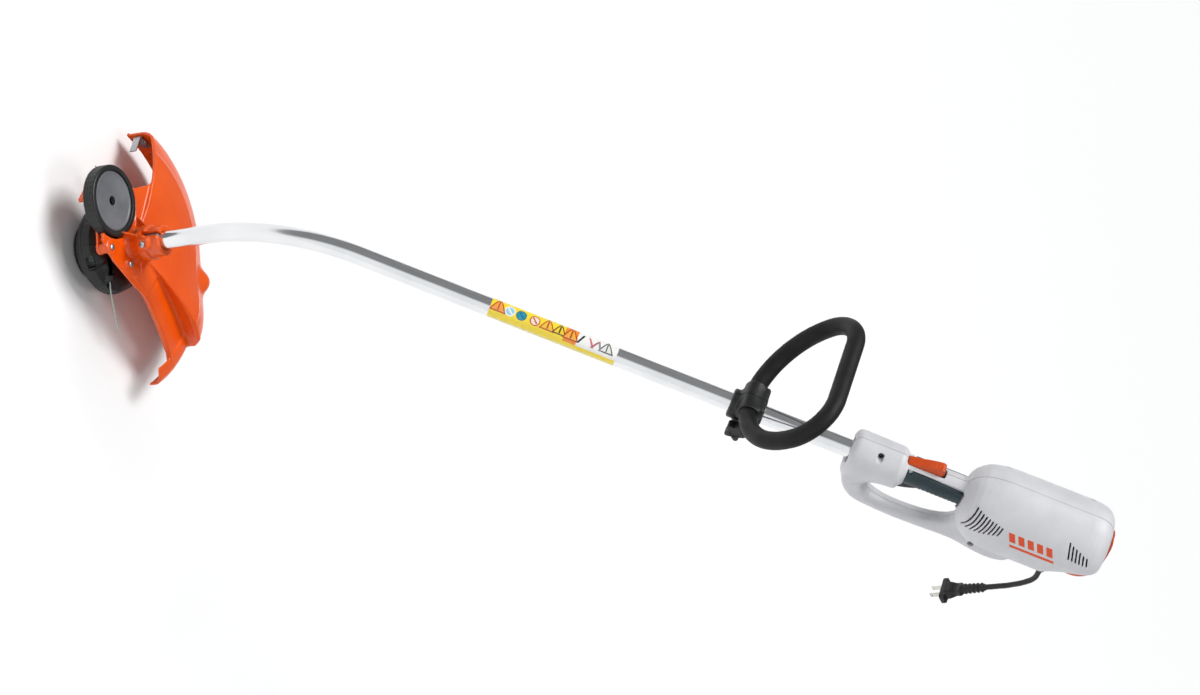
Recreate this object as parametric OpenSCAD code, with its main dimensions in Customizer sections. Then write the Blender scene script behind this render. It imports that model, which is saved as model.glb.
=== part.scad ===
// Corded string trimmer with a bent drive tube and a rear motor housing.
// Millimetres. Z is up and is the mowing head's spin axis, Z = 0 is the flat face of the tap button.
// The tube bends in the XZ plane towards +X, where the operator stands; -Y is the left side.

/* [Drive tube] */
// Outside diameter of the tube
tube_d = 25.4; // [24:0.1:27]
// Wall of the tube
tube_wall = 1.6; // [1.2:0.1:2]
// Height at which the bend starts
bend_start = 190; // [175:1:260]
// Radius of the bend along the tube's centre line
bend_radius = 327; // [260:1:400]
// Angle of the bend
bend_angle = 39; // [30:1:45]
// Straight length behind the bend
tube_straight = 744; // [600:1:900]
// Outside diameter of the plastic liner
liner_d = 12; // [10:0.5:14]
// Diameter of the flexible drive shaft
flex_d = 7; // [5:0.5:8]
// Width across the square ends of the flexible shaft
square_w = 5; // [4:0.5:5]
// Distance from the bend to the front edge of the label
label_front = 183; // [100:1:250]
// Length of the label
label_len = 178; // [80:1:220]

/* [Mowing head] */
// Radius of the head at its widest
head_r = 62; // [58:1:80]
// Wall of the head's cases
head_wall = 2.5; // [2:0.5:3]
// Radius of the tap button
button_r = 27; // [22:1:28]
// Travel of the tap button
button_travel = 5; // [3:0.5:5]
// Diameter of the arbor
arbor_d = 10; // [8:1:10]
// Outside diameter of the head bearings
bearing_d = 26; // [24:1:28]
// Width of a head bearing
bearing_w = 8; // [6:0.5:8]
// Diameter of the cutting line
line_d = 2; // [1.6:0.1:2.7]

/* [Deflector] */
// Radius of the deflector's high side
guard_r = 186; // [170:1:210]
// Radius of the deflector's low side
guard_low_r = 199; // [190:1:215]
// Wall of the deflector
guard_wall = 3; // [2.5:0.5:4]
// Wall of the sleeve that holds the tube
sleeve_wall = 3.3; // [2.8:0.1:4.5]

/* [Edging wheel] */
// Diameter of the wheel
wheel_d = 97; // [80:1:100]
// Width of the wheel
wheel_w = 18; // [12:1:20]
// Diameter of the wheel's axle
axle_d = 8; // [6:0.5:12]

/* [Loop handle] */
// Diameter of the handle's tube
loop_d = 24; // [20:1:28]
// Half width of the loop at its centre line
loop_half_w = 102; // [80:1:115]
// Height of the loop at its centre line
loop_h = 154; // [140:1:160]
// Distance of the loop from the bend along the tube
loop_at = 546; // [450:1:600]
// Lean of the loop from square to the tube
loop_lean = 39; // [20:0.5:45]
// Diameter of the clamp's bolt
bolt_d = 6; // [5:0.5:8]

/* [Rear housing] */
// Radius of the motor body
body_r = 57; // [54:0.5:64]
// Length of the motor body's straight part
body_len = 112; // [110:1:130]
// Wall of the housing shells
shell_wall = 2.5; // [2:0.5:3]
// Diameter of the grip bar
bar_d = 38; // [36:1:42]
// Thickness of the soft grip cover
grip_wall = 2.4; // [2:0.2:3]
// Radius of the hub around the tube
hub_r = 30; // [27:1:34]
// Half width of the lower bar and web
web_half_w = 13; // [12:0.5:16]

/* [Motor] */
// Outside diameter of the stator stack
stator_d = 84; // [76:1:92]
// Outside diameter of the armature
armature_d = 46; // [40:1:46]
// Length of the stack
stack_len = 50; // [40:1:50]
// Diameter of the motor shaft
motor_shaft_d = 8; // [8:0.5:10]
// Outside diameter of the motor bearings
motor_bearing_d = 22; // [20:1:26]

/* [Mains lead] */
// Diameter of the mains cord
cord_d = 7.5; // [6:0.5:9]
// Centre distance of the plug's blades
blade_pitch = 12.7; // [12:0.1:14]
// Length of the plug's blades
blade_len = 17; // [14:1:20]

/* [Fits] */
// Radial clearance of a running fit
running_gap = 0.05; // [0.02:0.01:0.1]
// Clearance between pieces that move past each other
free_gap = 0.4; // [0.3:0.1:0.6]

/* [Hidden] */
$fn = 48;
tube_r = tube_d / 2;
tube_bore_r = tube_r - tube_wall;
tube_low = 98;
bend_x = bend_radius * (1 - cos(bend_angle));
bend_z = bend_start + bend_radius * sin(bend_angle);
bend_thin = 0.02;
far = 400;

// Mowing head, heights above the ground
cap_top = 24;
case_top = 57;
ceiling = case_top - head_wall;
hub_out_r = arbor_d / 2 + 7;
spool_low = 10 + button_travel;
spool_high = spool_low + 25;
spool_wall = 2.5;
spool_r = 46;
spool_core_r = hub_out_r + 5;
spring_r = 21;
spring_wire = 1.6;
collar_r = 7.5;

// Head end of the tube
carrier_r = tube_r + sleeve_wall;
carrier_low = 62;
carrier_high = 122;
bearing_a = 64;
bearing_b = 86;
flex_low = 100;

// Deflector
plate_low = 74;
sleeve_r = carrier_r + 6;
sleeve_high = 126;
sector_front = 107;
sector_rear = 4;
strip_half_w = 38;
wheel_at = [-72, 9];
wheel_low = 62.5;
wheel_clear = 3;
clamp_turn = -36;
post_at = [-36, -44];
arm_low = 58.4;
arm_high = 61.9;
lip_low = 40;

// Loop handle and its clamp, distances along the tube from the loop's foot
loop_base = 15;
loop_gap = 13;
loop_corner = loop_h - loop_half_w;
flat_half = loop_half_w - loop_corner;
clamp_r = tube_r + 7;
clamp_half = 21;
socket_half = 24;
bolt_back = 4;
bolt_drop = tube_r + bolt_d / 2 + 2.4;
ear_half = clamp_r + 1;

// Rear housing: distances from the hub's front face along the tube, heights above the tube's axis
socket_len = 50;
hub_at = tube_straight - socket_len;
hub_len = 70;
bar_up = 5;
grip_front = 76;
grip_rear = 160;
body_front = 154;
body_drop = 2.5;
body_nose = 62;
body_tail = 30;
body_rear = body_front + body_nose + body_len + body_tail;
trigger_pin_at = [100, -9.6];
lever_pin_at = [80, 17];
slot_half_w = 6;

// Motor, distances from the hub's front face
coupling_at = 144;
coupling_len = 24;
front_bearing_at = 173;
motor_bearing_w = 7;
fan_at = 184;
fan_r = 34;
stack_at = 214;
commutator_at = stack_at + stack_len + 18;
rear_bearing_at = commutator_at + 24;
shaft_end = rear_bearing_at + motor_bearing_w + 3;
gland_at = 296;
gland_out = 26;

// Housing screws: distance from the hub's face, height above the axis, depth of the boss, 1 where it goes in from the right
SCREWS = [[36, 24, 15, 0], [14, -56, 11, 1], [194, -72, 11, 0], [198, 40, 32, 1], [316, 40, 34, 1], [316, -42, 34, 1]];

// Route of the mains cord, from inside the gland to inside the plug's strain relief
CORD_ROUTE = [[758, 0, 1114], [763, 0, 1109], [768, 0, 1105], [773, 0, 1101], [777, 0, 1096],
    [780, 0, 1090], [782, 0, 1083], [784, 0, 1074], [785, 0, 1064], [786, 0, 1054], [786, 0, 1044],
    [786, 0, 1034], [786, 0, 1023]];
plug_at = [786, 0, 1024];

// Route of one cutting line end, from its eyelet
LINE_ROUTE = [[9, -47, 50], [16, -51, 48], [26, -55, 45], [40, -59, 41], [56, -63, 37], [72, -67, 33], [88, -71, 30]];
eyelet_at = [12, -48.7, 49.1];
eyelet_turn = [0, 104, -30];
eyelet_r = 4;

// ---- shared shapes ----

// Points on a smooth closed or open curve through the given points
function catmull(a, b, c, d, t) = 0.5 * (2 * b + (c - a) * t + (2 * a - 5 * b + 4 * c - d) * t * t
    + (3 * b - a - 3 * c + d) * t * t * t);
function loop_curve(p, n) = let (m = len(p))
    [for (i = [0:m - 1], k = [0:n - 1])
        catmull(p[(i + m - 1) % m], p[i], p[(i + 1) % m], p[(i + 2) % m], k / n)];
function open_curve(p, n) = let (m = len(p))
    concat([for (i = [0:m - 2], k = [0:n - 1])
        catmull(p[max(i - 1, 0)], p[i], p[i + 1], p[min(i + 2, m - 1)], k / n)], [p[m - 1]]);

// One ring of a swept tube, square to the direction d, with its seam kept in one plane
function ring_at(c, d, r, sides, ref) = let (f = d / norm(d), a = cross(f, ref),
    e1 = a / norm(a), e2 = cross(f, e1))
    [for (k = [0:sides - 1]) c + r * (cos(360 * k / sides) * e1 + sin(360 * k / sides) * e2)];

// A tube of radius r swept along the points p, whose direction is never along ref
module swept(p, r, sides, ref = [0, 1, 0]) {
    n = len(p);
    dirs = [for (i = [0:n - 1]) p[min(i + 1, n - 1)] - p[max(i - 1, 0)]];
    points = [for (i = [0:n - 1]) each ring_at(p[i], dirs[i], r, sides, ref)];
    walls = [for (i = [0:n - 2], k = [0:sides - 1]) let (j = (k + 1) % sides)
        [i * sides + k, i * sides + j, (i + 1) * sides + j, (i + 1) * sides + k]];
    ends = [[for (k = [sides - 1:-1:0]) k], [for (k = [0:sides - 1]) (n - 1) * sides + k]];
    polyhedron(points, concat(walls, ends), convexity = 6);
}

// Ring between two radii, standing on Z = z0
module ring(r_out, r_in, z0, h) {
    translate([0, 0, z0]) difference() {
        cylinder(h = h, r = r_out);
        translate([0, 0, -1]) cylinder(h = h + 2, r = r_in);
    }
}

// Frame of the straight tube: x along the tube from the bend, y to the right, z up off the tube
module rail() translate([bend_x, 0, bend_z]) rotate([0, bend_angle - 90, 0]) children();

// Frame of the rear housing: as rail(), with x from the hub's front face
module rear() rail() translate([hub_at, 0, 0]) children();

// Round bar along x
module along(x0, x1, r, z = 0) translate([x0, 0, z]) rotate([0, 90, 0]) cylinder(h = x1 - x0, r = r);

// Ring along x
module ring_along(x0, x1, r_out, r_in) difference() {
    along(x0, x1, r_out);
    along(x0 - 1, x1 + 1, r_in);
}

// Round bar across, along y
module across(x, z, y0, y1, r) translate([x, y1, z]) rotate([90, 0, 0]) cylinder(h = y1 - y0, r = r);

// Flat outline in x and z, given thickness from y0 to y1
module slab(y0, y1) translate([0, y1, 0]) rotate([90, 0, 0]) linear_extrude(y1 - y0) children();

// Solid rod along the tube's centre line, from height low to the distance high behind the bend.
// The bend is drawn a hair thinner than the straights, as drawing the tube round it leaves it
module tube_rod(r, low, high) translate([bend_radius, 0, bend_start]) rotate([90, 0, 0]) {
    rotate([0, 0, 180]) translate([bend_radius, 0, 0]) rotate([-90, 0, 0]) cylinder(h = bend_start - low, r = r);
    rotate([0, 0, 180 - bend_angle]) {
        rotate_extrude(angle = bend_angle) translate([bend_radius, 0]) circle(r - bend_thin);
        translate([bend_radius, 0, 0]) rotate([90, 0, 0]) cylinder(h = high, r = r);
    }
}

// ---- mowing head ----

// Outline of the upper case in radius and height
CASE = [[head_r - 3.5, cap_top], [head_r, 33], [head_r - 3, 43], [head_r - 10, 50], [head_r - 17, 55],
    [head_r - 26, case_top], [hub_out_r, case_top]];
CASE_IN = [[hub_out_r, ceiling], [head_r - 27, ceiling], [head_r - 19, 52.5], [head_r - 12, 48],
    [head_r - 5.5, 42], [head_r - head_wall, 33], [head_r - 6, cap_top]];

// Upper case of the head, with a window beside each eyelet
module spool_housing() color("#2b2d30") difference() {
    union() {
        rotate_extrude() polygon(concat(CASE, CASE_IN));
        translate([0, 0, 28]) cylinder(h = case_top + 1 - 28, r = hub_out_r);
    }
    translate([0, 0, 27]) cylinder(h = 34, r = arbor_d / 2);
    for (a = [0, 180]) rotate([0, 0, a]) {
        translate(eyelet_at) rotate(eyelet_turn) {
            translate([0, 0, -6]) cylinder(h = 12, r = eyelet_r + 0.2);
            translate([0, 0, 2]) cylinder(h = 20, r = eyelet_r + 1.6);
        }
        rotate([0, 0, -112]) translate([head_r - 14, -9, 36]) cube([20, 18, 9]);
    }
}

// Lower cover of the head
module spool_cap() color("#232528") difference() {
    rotate_extrude() polygon([[button_r + free_gap, 5], [32, 3], [45, 7], [54, 16.5], [head_r - 3.5, cap_top],
        [head_r - 6, cap_top], [head_r - 11, 17.5], [43.5, 9.6], [32, 6], [button_r + free_gap, 8]]);
    for (a = [0:60:300]) rotate([0, 0, a + 20]) translate([47, -5, 0]) cube([14, 10, 13]);
}

// Flat-faced button that the head is tapped on
module tap_button() color("#1d1f21") difference() {
    rotate_extrude() polygon([[0, 0], [20, 0], [24, 1], [button_r, 4.5], [button_r, 8.6], [button_r + 4, 8.6],
        [button_r + 4, 11], [button_r, 11], [button_r, spool_low], [button_r - 3, spool_low],
        [button_r - 3, 6], [20, 3.5], [0, 3]]);
    for (a = [0:45:315]) rotate([0, 0, a]) translate([23.5, -1.2, -1]) cube([6, 2.4, 4]);
}

// Spool that the button pushes up
module line_spool() color("#3a3d40") {
    ring(spool_core_r, hub_out_r + free_gap, spool_low, spool_high - spool_low);
    ring(spool_r, spool_core_r, spool_low, spool_wall);
    ring(spool_r, spool_core_r, spool_high - spool_wall, spool_wall);
}

// Line wound on the spool, as a ribbed ring
module wound_line() color("#c9d6cf") difference() {
    ring(spool_r - 4, spool_core_r, spool_low + spool_wall, spool_high - spool_low - 2 * spool_wall);
    for (i = [0:8]) translate([0, 0, spool_low + spool_wall + 2 + i * 2]) rotate_extrude()
        translate([spool_r - 3.4, 0]) rotate([0, 0, 45]) square(1.6, center = true);
}

// Spring that pushes the spool and button down
module spool_spring() color("#b9bdc0") {
    turns = 4;
    h = ceiling - spool_high - spring_wire - 0.4;
    swept([for (i = [0:turns * 14]) [spring_r * cos(i * 360 / 14), spring_r * sin(i * 360 / 14),
        spool_high + spring_wire / 2 + 0.2 + h * i / (turns * 14)]], spring_wire / 2, 6, [0, 0, 1]);
}

// Metal eyelets that the line leaves through
module line_eyelets() color("#c8ccd0") for (a = [0, 180]) rotate([0, 0, a])
    translate(eyelet_at) rotate(eyelet_turn) {
        ring(eyelet_r, line_d / 2 + 0.5, -3, 5);
        ring(eyelet_r + 1.2, line_d / 2 + 0.5, 2, 1.6);
    }

module cutting_line() color("#b9c4bd") swept(open_curve(LINE_ROUTE, 3), line_d / 2, 8);
module cutting_line_a() cutting_line();
module cutting_line_b() rotate([0, 0, 180]) cutting_line();

// Spindle that carries the head, with a square socket for the flexible shaft
module head_arbor() color("#a9adb1") difference() {
    union() {
        translate([0, 0, 28]) cylinder(h = 28, r = arbor_d / 2);
        translate([0, 0, 55]) cylinder(h = 41, r = arbor_d / 2 - running_gap);
        translate([0, 0, case_top + 1]) cylinder(h = bearing_a - free_gap - case_top - 1, r = collar_r);
    }
    translate([-square_w / 2, -square_w / 2, 80]) cube([square_w, square_w, 20]);
}

// Square end of the flexible shaft in the arbor
module flex_end_lower() color("#8d9296") {
    translate([-square_w / 2, -square_w / 2, 80]) cube([square_w, square_w, 17]);
    translate([0, 0, 97]) cylinder(h = flex_low - free_gap - 97, r = flex_d / 2);
}

// ---- head end of the tube ----

// Aluminium sleeve that joins the tube to the bearings
module bearing_carrier() color("#9a9ea3") difference() {
    translate([0, 0, carrier_low]) cylinder(h = carrier_high - carrier_low, r = carrier_r);
    translate([0, 0, carrier_low - 1]) cylinder(h = bearing_b + bearing_w - carrier_low + 1, r = bearing_d / 2);
    translate([0, 0, bearing_b]) cylinder(h = 20, r = flex_d / 2 + 4);
    translate([0, 0, tube_low]) cylinder(h = 40, r = tube_r);
}

module head_bearing(z) difference() {
    ring(bearing_d / 2, arbor_d / 2, z, bearing_w);
    for (zz = [z - 1, z + bearing_w - 0.6]) ring(bearing_d / 2 - 2.4, arbor_d / 2 + 2.4, zz, 1.6);
}
module head_bearings() color("#b5b9bd") for (z = [bearing_a, bearing_b]) head_bearing(z);

// Split ring that keeps the lower bearing in
module retaining_ring() color("#77797c") difference() {
    ring(bearing_d / 2, bearing_d / 2 - 2, bearing_a - 1.4, 1.2);
    translate([0, -3, bearing_a - 3]) cube([20, 6, 4]);
}

// Sloping fan of the deflector's high side, radius and height
FAN = [[sleeve_r - 3, plate_low + 3], [60, 82], [110, 79], [150, 70], [guard_r - 10, 60], [guard_r - 2, 50],
    [guard_r, 38], [guard_r, 16]];
FAN_IN = [[guard_r - guard_wall, 16], [guard_r - guard_wall, 37], [guard_r - 5.5, 48], [guard_r - 12, 57],
    [149, 66.8], [109.5, 75.8], [60, 78.8], [sleeve_r - 3, plate_low]];

// Radial slice of a ring between two bearings, in degrees from +X towards +Y
module sector(from, to) rotate([0, 0, from]) rotate_extrude(angle = to - from) children();

// Front plate around the sleeve, cut out around the wheel
module front_plate() linear_extrude(guard_wall) difference() {
    polygon([[-68, -49], [-20, -54], [34, -46], [60, -strip_half_w], [60, 10], [40, 80], [-24, 96], [-46, 64], [-80, 20]]);
    translate(wheel_at) circle(wheel_d / 2 + wheel_clear);
}

// Orange guard, clamped round the sleeve
module deflector() color("#f0641e") difference() {
    union() {
        translate([0, 0, plate_low]) front_plate();
        sector(sector_rear, sector_front) polygon(concat(FAN, FAN_IN));
        translate([0, 0, plate_low - 12]) cylinder(h = sleeve_high - plate_low + 12, r = sleeve_r);
        // Low strip towards the rear left
        slab(-strip_half_w, 6) polygon([[20, plate_low], [20, plate_low + guard_wall], [70, 75], [120, 66],
            [165, 55], [guard_low_r - 8, 45], [guard_low_r - 11, 43], [164, 52], [119, 63], [69, 72]]);
        // Skirt of the low strip, drawn out to a tip
        sector(-23, sector_rear - 2) polygon([[guard_low_r - guard_wall, 30], [guard_low_r, 30], [guard_low_r, 42],
            [guard_low_r - 6, 49], [guard_low_r - 22, 53], [guard_low_r - 22, 50], [guard_low_r - 8, 46],
            [guard_low_r - guard_wall, 41]]);
        // Wall between the two levels
        slab(4, 7) polygon([[24, plate_low], [60, 72], [120, 60], [170, 48], [guard_r - 1, 40], [guard_r - 2, 50],
            [guard_r - 12, 59], [148, 69], [110, 77], [60, 80], [24, plate_low + guard_wall]]);
        // Clamp ear on the left
        rotate([0, 0, clamp_turn]) translate([-7, -sleeve_r - 3, 98]) cube([14, 8, 16]);
    }
    translate([0, 0, plate_low - 20]) cylinder(h = carrier_high - plate_low + 20, r = carrier_r);
    translate([0, 0, carrier_high - 1]) cylinder(h = 20, r = tube_r + free_gap);
    // Clamp slot towards the front
    rotate([0, 0, 15]) translate([-sleeve_r - 4, -3, 100]) cube([sleeve_r - 8, 6, 60]);
    rotate([0, 0, clamp_turn]) across(0, 106, -40, -carrier_r + 1, 2.2);
    for (p = DECK_SCREWS) translate([p.x, p.y, plate_low - 6]) cylinder(h = 20, r = 2.2);
    rotate([0, 0, blade_turn]) translate([guard_r - 20, 0, 34]) rotate([0, 90, 0]) cylinder(h = 40, r = 2.2);
}
DECK_SCREWS = [[6, -32], post_at];

// Steel blade that trims the line, inside the front end of the skirt
blade_turn = 101;
module line_blade() color("#9fa4a8") rotate([0, 0, blade_turn]) difference() {
    translate([guard_r - guard_wall - 3, -9, 24]) union() {
        cube([1.5, 24, 15]);
        translate([-24, 22.5, 2]) cube([25.5, 1.5, 11]);
    }
    translate([guard_r - 20, 0, 34]) rotate([0, 90, 0]) cylinder(h = 30, r = 2.4);
}
module blade_screw() color("#b9bdc1") rotate([0, 0, blade_turn]) {
    translate([guard_r - guard_wall - 5.5, 0, 34]) rotate([0, 90, 0]) cylinder(h = 2.5, r = 4.2);
    translate([guard_r - guard_wall - 3, 0, 34]) rotate([0, 90, 0]) cylinder(h = 6, r = 2.2);
}

// Screws that hold the deflector: one clamps the sleeve, two go down into the plate
module deflector_screws() color("#c3c7ca") {
    rotate([0, 0, clamp_turn]) {
        across(0, 106, -sleeve_r - 6, -sleeve_r - 3, 4.2);
        across(0, 106, -sleeve_r - 3, -carrier_r, 2.2);
    }
    for (p = DECK_SCREWS) {
        translate([p.x, p.y, plate_low + guard_wall]) cylinder(h = 2.6, r = 4);
        translate([p.x, p.y, plate_low - 6]) cylinder(h = guard_wall + 6, r = 2.2);
    }
}

// Arm under the edging wheel, with a lip at its front
module wheel_bracket() color("#ee5f1c") difference() {
    union() {
        translate([0, 0, arm_low]) linear_extrude(arm_high - arm_low) {
            hull() {
                translate(wheel_at) circle(16);
                translate(post_at) circle(8);
            }
            polygon([[-96, -6], [-70, -6], [-70, 14], [-92, 15]]);
        }
        // Lip outside the path of the line
        translate([0, 0, lip_low]) linear_extrude(arm_low + 1 - lip_low) polygon([[-96, -6], [-91, -8], [-88, 10], [-92, 15]]);
        // Post up to the deflector's plate
        translate([post_at.x, post_at.y, arm_low + 1]) cylinder(h = plate_low - arm_low - 1, r = 7);
    }
    translate([wheel_at.x, wheel_at.y, arm_low - 1]) cylinder(h = 10, r = axle_d / 2);
    translate([post_at.x, post_at.y, plate_low - 8]) cylinder(h = 10, r = 2.2);
}

// Fixed pin that the wheel turns on
module wheel_axle() color("#b4b8bc") translate([wheel_at.x, wheel_at.y, 0]) {
    translate([0, 0, arm_low - 3]) cylinder(h = 3, r = axle_d / 2 + 2);
    translate([0, 0, arm_low]) cylinder(h = wheel_low + wheel_w - 3 - arm_low, r = axle_d / 2);
}

// Edging wheel with a recessed face and a tread of shallow ribs
module edging_wheel() color("#2c2e31") translate([wheel_at.x, wheel_at.y, wheel_low]) difference() {
    rotate_extrude() polygon([[0, 0], [0, wheel_w - 4], [8, wheel_w - 4], [9, wheel_w - 5],
        [wheel_d / 2 - 12, wheel_w - 5], [wheel_d / 2 - 9, wheel_w], [wheel_d / 2 - 2, wheel_w],
        [wheel_d / 2, wheel_w - 2], [wheel_d / 2, 2], [wheel_d / 2 - 2, 0], [wheel_d / 2 - 9, 0],
        [wheel_d / 2 - 10, 2], [14, 2], [13, 0]]);
    translate([0, 0, -1]) cylinder(h = wheel_w + 2, r = axle_d / 2 + running_gap);
}

// ---- drive tube ----

module shaft_tube() color("#c3c6c9") difference() {
    tube_rod(tube_r, tube_low, tube_straight);
    tube_rod(tube_bore_r, tube_low - 1, tube_straight + 1);
}

module shaft_liner() color("#e8e6df") difference() {
    tube_rod(liner_d / 2, flex_low + 2, tube_straight + 84);
    tube_rod(flex_d / 2 + 0.3, flex_low + 1, tube_straight + 85);
}

module liner_bushes() color("#55585b") {
    ring(tube_bore_r, liner_d / 2, flex_low + 6, 10);
    rail() for (x = [120:190:tube_straight - 40]) ring_along(x, x + 10, tube_bore_r, liner_d / 2);
}

module flex_shaft() color("#84898d") tube_rod(flex_d / 2, flex_low, hub_at + coupling_at - 2);

// Wrap-around label
module info_label() color("#f2c431") rail()
    ring_along(label_front, label_front + label_len, tube_r + 0.25, tube_r);

// ---- loop handle ----

// Frame of the loop: x to the right, y up the loop, z square to it, from the loop's foot
module loop_frame() rail() translate([loop_at, 0, loop_base]) rotate([0, loop_lean, 0]) rotate([90, 0, 90]) children();

// Round the loop's lower half, from the clamp up on both sides
module loop_sides(r, cut) for (m = [0, 1]) mirror([m, 0, 0]) translate([0, loop_half_w, 0])
    rotate([0, 0, cut - 90]) rotate_extrude(angle = 90 - cut) translate([loop_half_w, 0]) circle(r);

// Loop: round sides from the clamp, a flat bar above with round corners
module loop_handle() color("#222426") loop_frame() {
    loop_sides(loop_d / 2, loop_gap);
    for (m = [0, 1]) mirror([m, 0, 0]) translate([flat_half, loop_half_w, 0])
        rotate_extrude(angle = 90) translate([loop_corner, 0]) circle(loop_d / 2);
    translate([-flat_half, loop_h, 0]) rotate([0, 90, 0]) cylinder(h = 2 * flat_half, r = loop_d / 2);
}

// Half of the clamp: a saddle on the tube, a socket for the loop above, an ear for the bolt below
module clamp_part(side) rail() translate([loop_at, 0, 0]) difference() {
    union() {
        along(-clamp_half - 3, clamp_half, clamp_r);
        across(-bolt_back, -bolt_drop, -ear_half, ear_half, 9.5);
        translate([-9, -socket_half, 0]) cube([30, 2 * socket_half, loop_base + loop_d / 2 + 2]);
    }
    translate([-far, side > 0 ? 0.3 - far : -0.3, -far]) cube([2 * far, far, 2 * far]);
    along(-far, far, tube_r + running_gap);
    across(-bolt_back, -bolt_drop, -far, far, bolt_d / 2);
    translate([0, 0, loop_base]) rotate([0, loop_lean, 0]) rotate([90, 0, 90]) loop_sides(loop_d / 2, loop_gap);
}
module clamp_left() color("#2a2c2f") clamp_part(-1);
module clamp_right() color("#26282b") clamp_part(1);

// Bolt that pinches the two halves below the tube, with a round cap on the right
module clamp_bolt() color("#aeb2b6") rail() translate([loop_at, 0, 0]) {
    across(-bolt_back, -bolt_drop, -ear_half - 9, ear_half, bolt_d / 2);
    across(-bolt_back, -bolt_drop, ear_half, ear_half + 5, bolt_d / 2 + 4);
}

// Lobed knob on the left end of the bolt
module clamp_knob() color("#1f2123") rail() translate([loop_at - bolt_back, 0, -bolt_drop]) difference() {
    union() {
        across(0, 0, -ear_half - 13, -ear_half - free_gap, 11);
        for (a = [0:72:288]) across(11 * cos(a), 11 * sin(a), -ear_half - 12, -ear_half - 2, 4.5);
    }
    across(0, 0, -ear_half - 9, 0, bolt_d / 2 + running_gap);
}

// ---- rear housing ----

// Outline of the motor body: distance along the axis and radius
BODY = open_curve([[body_front, 19], [body_front + 3, 31], [body_front + 10, 42], [body_front + 24, 51],
    [body_front + 44, body_r - 1], [body_front + body_nose, body_r]], 3);
TAIL = open_curve([[body_rear - body_tail, body_r], [body_rear - 14, body_r - 4],
    [body_rear - 5, body_r - 16], [body_rear - 1, body_r - 32], [body_rear, 0]], 3);

// Turns an outline given as distance and radius about the body's axis
module turned() translate([0, 0, -body_drop]) rotate([0, 90, 0]) rotate_extrude()
    intersection() {
        rotate([0, 0, 90]) children();
        translate([0, -far]) square([far, 3 * far]);
    }
module body_outline() union() {
    polygon(concat([[body_front, 0]], BODY, TAIL));
    mirror([0, 1]) polygon(concat([[body_front, 0]], BODY, TAIL));
}
module body_outer() turned() body_outline();
module body_inner() turned() offset(delta = -shell_wall) body_outline();

// Side outline of the handle frame with its finger gap
FRAME = loop_curve([[-2, 14], [-4, -18], [-2, -42], [8, -64], [28, -78], [70, -86], [120, -86],
    [165, -84], [195, -88], [225, -90], [246, -84], [254, -66], [244, -48], [200, -30], [150, -2], [60, 8]], 4);
GAP = loop_curve([[36, -30], [52, -16], [90, -14], [140, -14], [157, -22], [160, -36], [148, -54], [118, -64], [76, -66],
    [46, -60], [34, -46]], 4);
module frame_outline() difference() {
    polygon(FRAME);
    polygon(GAP);
}
module frame_outer() slab(-web_half_w, web_half_w) frame_outline();
module frame_inner() difference() {
    slab(-web_half_w + shell_wall, web_half_w - shell_wall) offset(delta = -shell_wall) frame_outline();
    along(hub_len - 14, body_front + 6, bar_d / 2 + 1, bar_up);
}

// Whole outer form of the housing
module housing_outer() {
    body_outer();
    frame_outer();
    along(0, hub_len, hub_r);
    along(hub_len - 14, body_front + 12, bar_d / 2, bar_up);
}

// Walls and bosses that stay inside the hollow form
module housing_ribs() {
    along(0, socket_len + 4, tube_r + 4);
    ring_along(0, 5, 60, 5);
    ring_along(socket_len - 6, socket_len, 60, 5);
    along(front_bearing_at - 2, front_bearing_at + motor_bearing_w + 2, 60);
    for (x = [stack_at + 4, stack_at + stack_len - 9]) along(x, x + 5, 60);
    along(rear_bearing_at - 2, rear_bearing_at + motor_bearing_w + 2, 60);
    for (s = SCREWS) across(s[0], s[1], -far, far, 4.5);
    for (p = [trigger_pin_at, lever_pin_at]) across(p[0], p[1], -far, far, 4.3);
    translate([gland_at - 14, -14, -far]) cube([28, 28, far - 48]);
    for (s = [-1, 1]) across(commutator_at + 8, 0, s > 0 ? 35 : -far, s > 0 ? far : -35, 8);
    translate([shaft_end + 9, -14, -far]) cube([3, 28, far - 22]);
}

// Hollow inside the housing
module housing_hollow() difference() {
    union() {
        body_inner();
        frame_inner();
        along(3, hub_len - 3, hub_r - shell_wall);
        along(hub_len - 20, body_front + 14, bar_d / 2 - grip_wall - shell_wall, bar_up);
    }
    housing_ribs();
    slab(-far, far) offset(delta = shell_wall) polygon(GAP);
}

// Place of the grip cover on the bar
module grip_space() difference() {
    along(grip_front, grip_rear, bar_d / 2 + 1, bar_up);
    along(grip_front - 1, grip_rear + 1, bar_d / 2 - grip_wall, bar_up);
    translate([grip_front - 1, -far, bar_up + 13]) cube([grip_rear, 2 * far, far]);
    across(trigger_pin_at[0], trigger_pin_at[1], -far, far, 4.3);
}

// Slots for cooling air, on the side that sign points to
module vents(sign) {
    for (i = [0:6]) translate([body_front + 22 + i * 6, sign * 50, 2 + i]) rotate([0, 20, 0])
        cube([2.4, 40, 26 - i * 2], center = true);
    for (i = [0:5]) translate([rear_bearing_at - 6 + i * 5.5, sign * 50, 14]) rotate([0, 20, 0])
        cube([2.4, 40, 18], center = true);
}

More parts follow.
